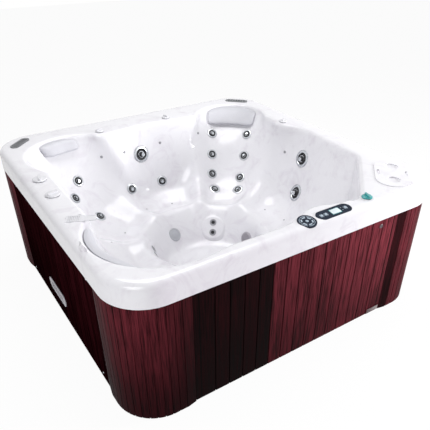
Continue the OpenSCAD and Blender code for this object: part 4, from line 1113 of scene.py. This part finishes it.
def addArc(r0, r1, a0, a1, height, place, steps=14):
    # A flat raised mark between two radii and two angles
    bm = bmesh.new()
    rows = []
    section = ((r0, 0), (r1, 0), (r1, height), (r0, height))
    for i in range(steps + 1):
        a = radians(a0 + (a1 - a0) * i / steps)
        rows.append([bm.verts.new((r * cos(a), r * sin(a), z)) for r, z in section])
    for i in range(steps):
        for j in range(4):
            k = (j + 1) % 4
            bm.faces.new((rows[i][j], rows[i][k], rows[i + 1][k], rows[i + 1][j]))
    bm.faces.new(rows[0])
    bm.faces.new(list(reversed(rows[-1])))
    bmesh.ops.recalc_face_normals(bm, faces=bm.faces)
    o = meshObject(bm, "mark")
    o.matrix_world = place
    bake(o)
    return o


def addBlock(size, place, soft):
    # A block with softened edges, centred on place
    bpy.ops.object.select_all(action="DESELECT")
    bpy.ops.mesh.primitive_cube_add(size=1)
    o = bpy.context.object
    o.scale = size
    bake(o)
    softenEdges(o, soft, 2, 40)
    o.matrix_world = place
    bake(o)
    return o


def finish(o, name, look, body):
    o.name = name
    o.data.name = name
    paint(o, look)
    activate(o)
    bpy.ops.object.shade_smooth_by_angle(angle=radians(30))
    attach(o, body)


def buildPanelMarks():
    x, length, width = touchPanel["display"]
    top, wide, high, out = (touchPanel[key] for key in ("top", "rimWide", "rimHigh", "rimOut"))
    screen = addBlock((length, width, 0.0022), shift(consoleFrame, x, 0, top + 0.0004), 0.0006)
    finish(screen, "displayWindow", "display", "tub")
    rim = []
    for side in (-1, 1):
        place = shift(consoleFrame, x, side * (width / 2 + out), top + 0.0003)
        rim.append(addBlock((length + 0.006, wide, high), place, 0.0003))
    for side in (-1, 1):
        place = shift(consoleFrame, x + side * (length / 2 + out), 0, top + 0.0003)
        rim.append(addBlock((wide, width + 0.006, high), place, 0.0003))
    finish(join(rim), "displayRim", "teal", "tub")
    marks = []
    r, high = touchPanel["markRadius"], touchPanel["markHigh"]
    for k in touchPanel["keys"]:
        for i in range(4):
            place = shift(consoleFrame, k, 0, top)
            marks.append(addArc(r, r + 0.0016, 90 * i + 12, 90 * i + 78, high, place))
    dashX, dashY = touchPanel["dashAt"]
    for side in (1, -1):
        place = shift(consoleFrame, dashX, side * dashY, top + 0.0003)
        marks.append(addBlock(touchPanel["dashSize"], place, 0.0002))
    gap = 360 / touchPanel["ringMarks"]
    centre = shift(consoleFrame, touchPanel["ringCentre"], 0, top)
    for i in range(touchPanel["ringMarks"]):
        for r0, r1, spare in touchPanel["rings"]:
            marks.append(addArc(r0, r1, gap * i + spare, gap * (i + 1) - spare, high, centre))
    finish(join(marks), "panelMarks", "key", "tub")


buildPanelMarks()


# Louvred face of the drain cover, low on the access panel
drainCover = {
    "place": (0.648, -1.0636, 0.025), "length": 0.104, "height": 0.034, "bars": 5, "tilt": 24,
}


def buildDrainCover():
    place = Matrix.Translation(drainCover["place"])
    w, h = drainCover["length"], drainCover["height"]
    parts = [addBlock((w, 0.0016, h), place, 0.0005)]
    for i in range(drainCover["bars"]):
        z = h * (i + 1) / (drainCover["bars"] + 1) - h / 2
        tilt = Matrix.Translation((0, -0.0012, z)) @ Matrix.Rotation(radians(drainCover["tilt"]), 4, "X")
        parts.append(addBlock((w - 0.012, 0.0030, 0.0026), place @ tilt, 0.0007))
    finish(join(parts), "drainCover", "louvre", "front_panel")


buildDrainCover()


# Small plugs in the seats, each set where a ray from above meets the moulding
seatPlugs = [
    (0.036, 0.533), (-0.190, 0.522), (-0.465, 0.323), (-0.639, 0.135), (0.591, 0.044), (0.603, -0.173),
]


def buildSeatPlugs():
    parts = []
    for x, y in seatPlugs:
        hit, at, normal, _ = shell.ray_cast(Vector((x, y, 0.8)), Vector((0, 0, -1)))
        if not hit:
            continue
        tilt = normal.to_track_quat("Z", "Y").to_matrix().to_4x4()
        place = Matrix.Translation(at - normal * 0.0004) @ tilt
        parts.append(addCylinder(0.0062, 0.0016, place, 24, 0.0048))
    finish(join(parts), "seatPlugs", "darkPlastic", "tub")


buildSeatPlugs()


def buildDomePortShade():
    # Black discs as painted shade in the openings of the two jets in the foot dome, just under the highest
    # point met near each
    parts = []
    for side in (-1, 1):
        m = shift(slopeFrame(*domeSite), y=side * forms["footStep"])
        out = m.to_3x3() @ Vector((0, 0, 1))
        heights = [0.0]
        for r in (0.006, 0.010, 0.014, 0.018):
            start = m @ Vector((r, 0, 0.1))
            hit, at, normal, _ = nodes["foot_jets"].ray_cast(start, -out)
            if hit:
                heights.append(0.1 - (at - start).length)
        place = shift(m, z=max(heights) - 0.0004)
        parts.append(addCylinder(0.0135, 0.0014, place, 32, 0.0125))
    finish(join(parts), "domePortShade", "blackEnamel", "tub")


def buildKnobRing():
    # White ring round the lit knob
    o = turnedDisc(0.041, 0.0012, 64, [(0.003, 0.0010), (0.010, 0.0), (0.003, -0.0008)])
    o.matrix_world = Matrix.Translation((*knobBores[-1][:2], rimTop))
    bake(o)
    finish(o, "knobRing", "capWhite", "tub")


buildDomePortShade()
buildKnobRing()
print("panel marks, drain cover, plugs, ports and knob ring placed")
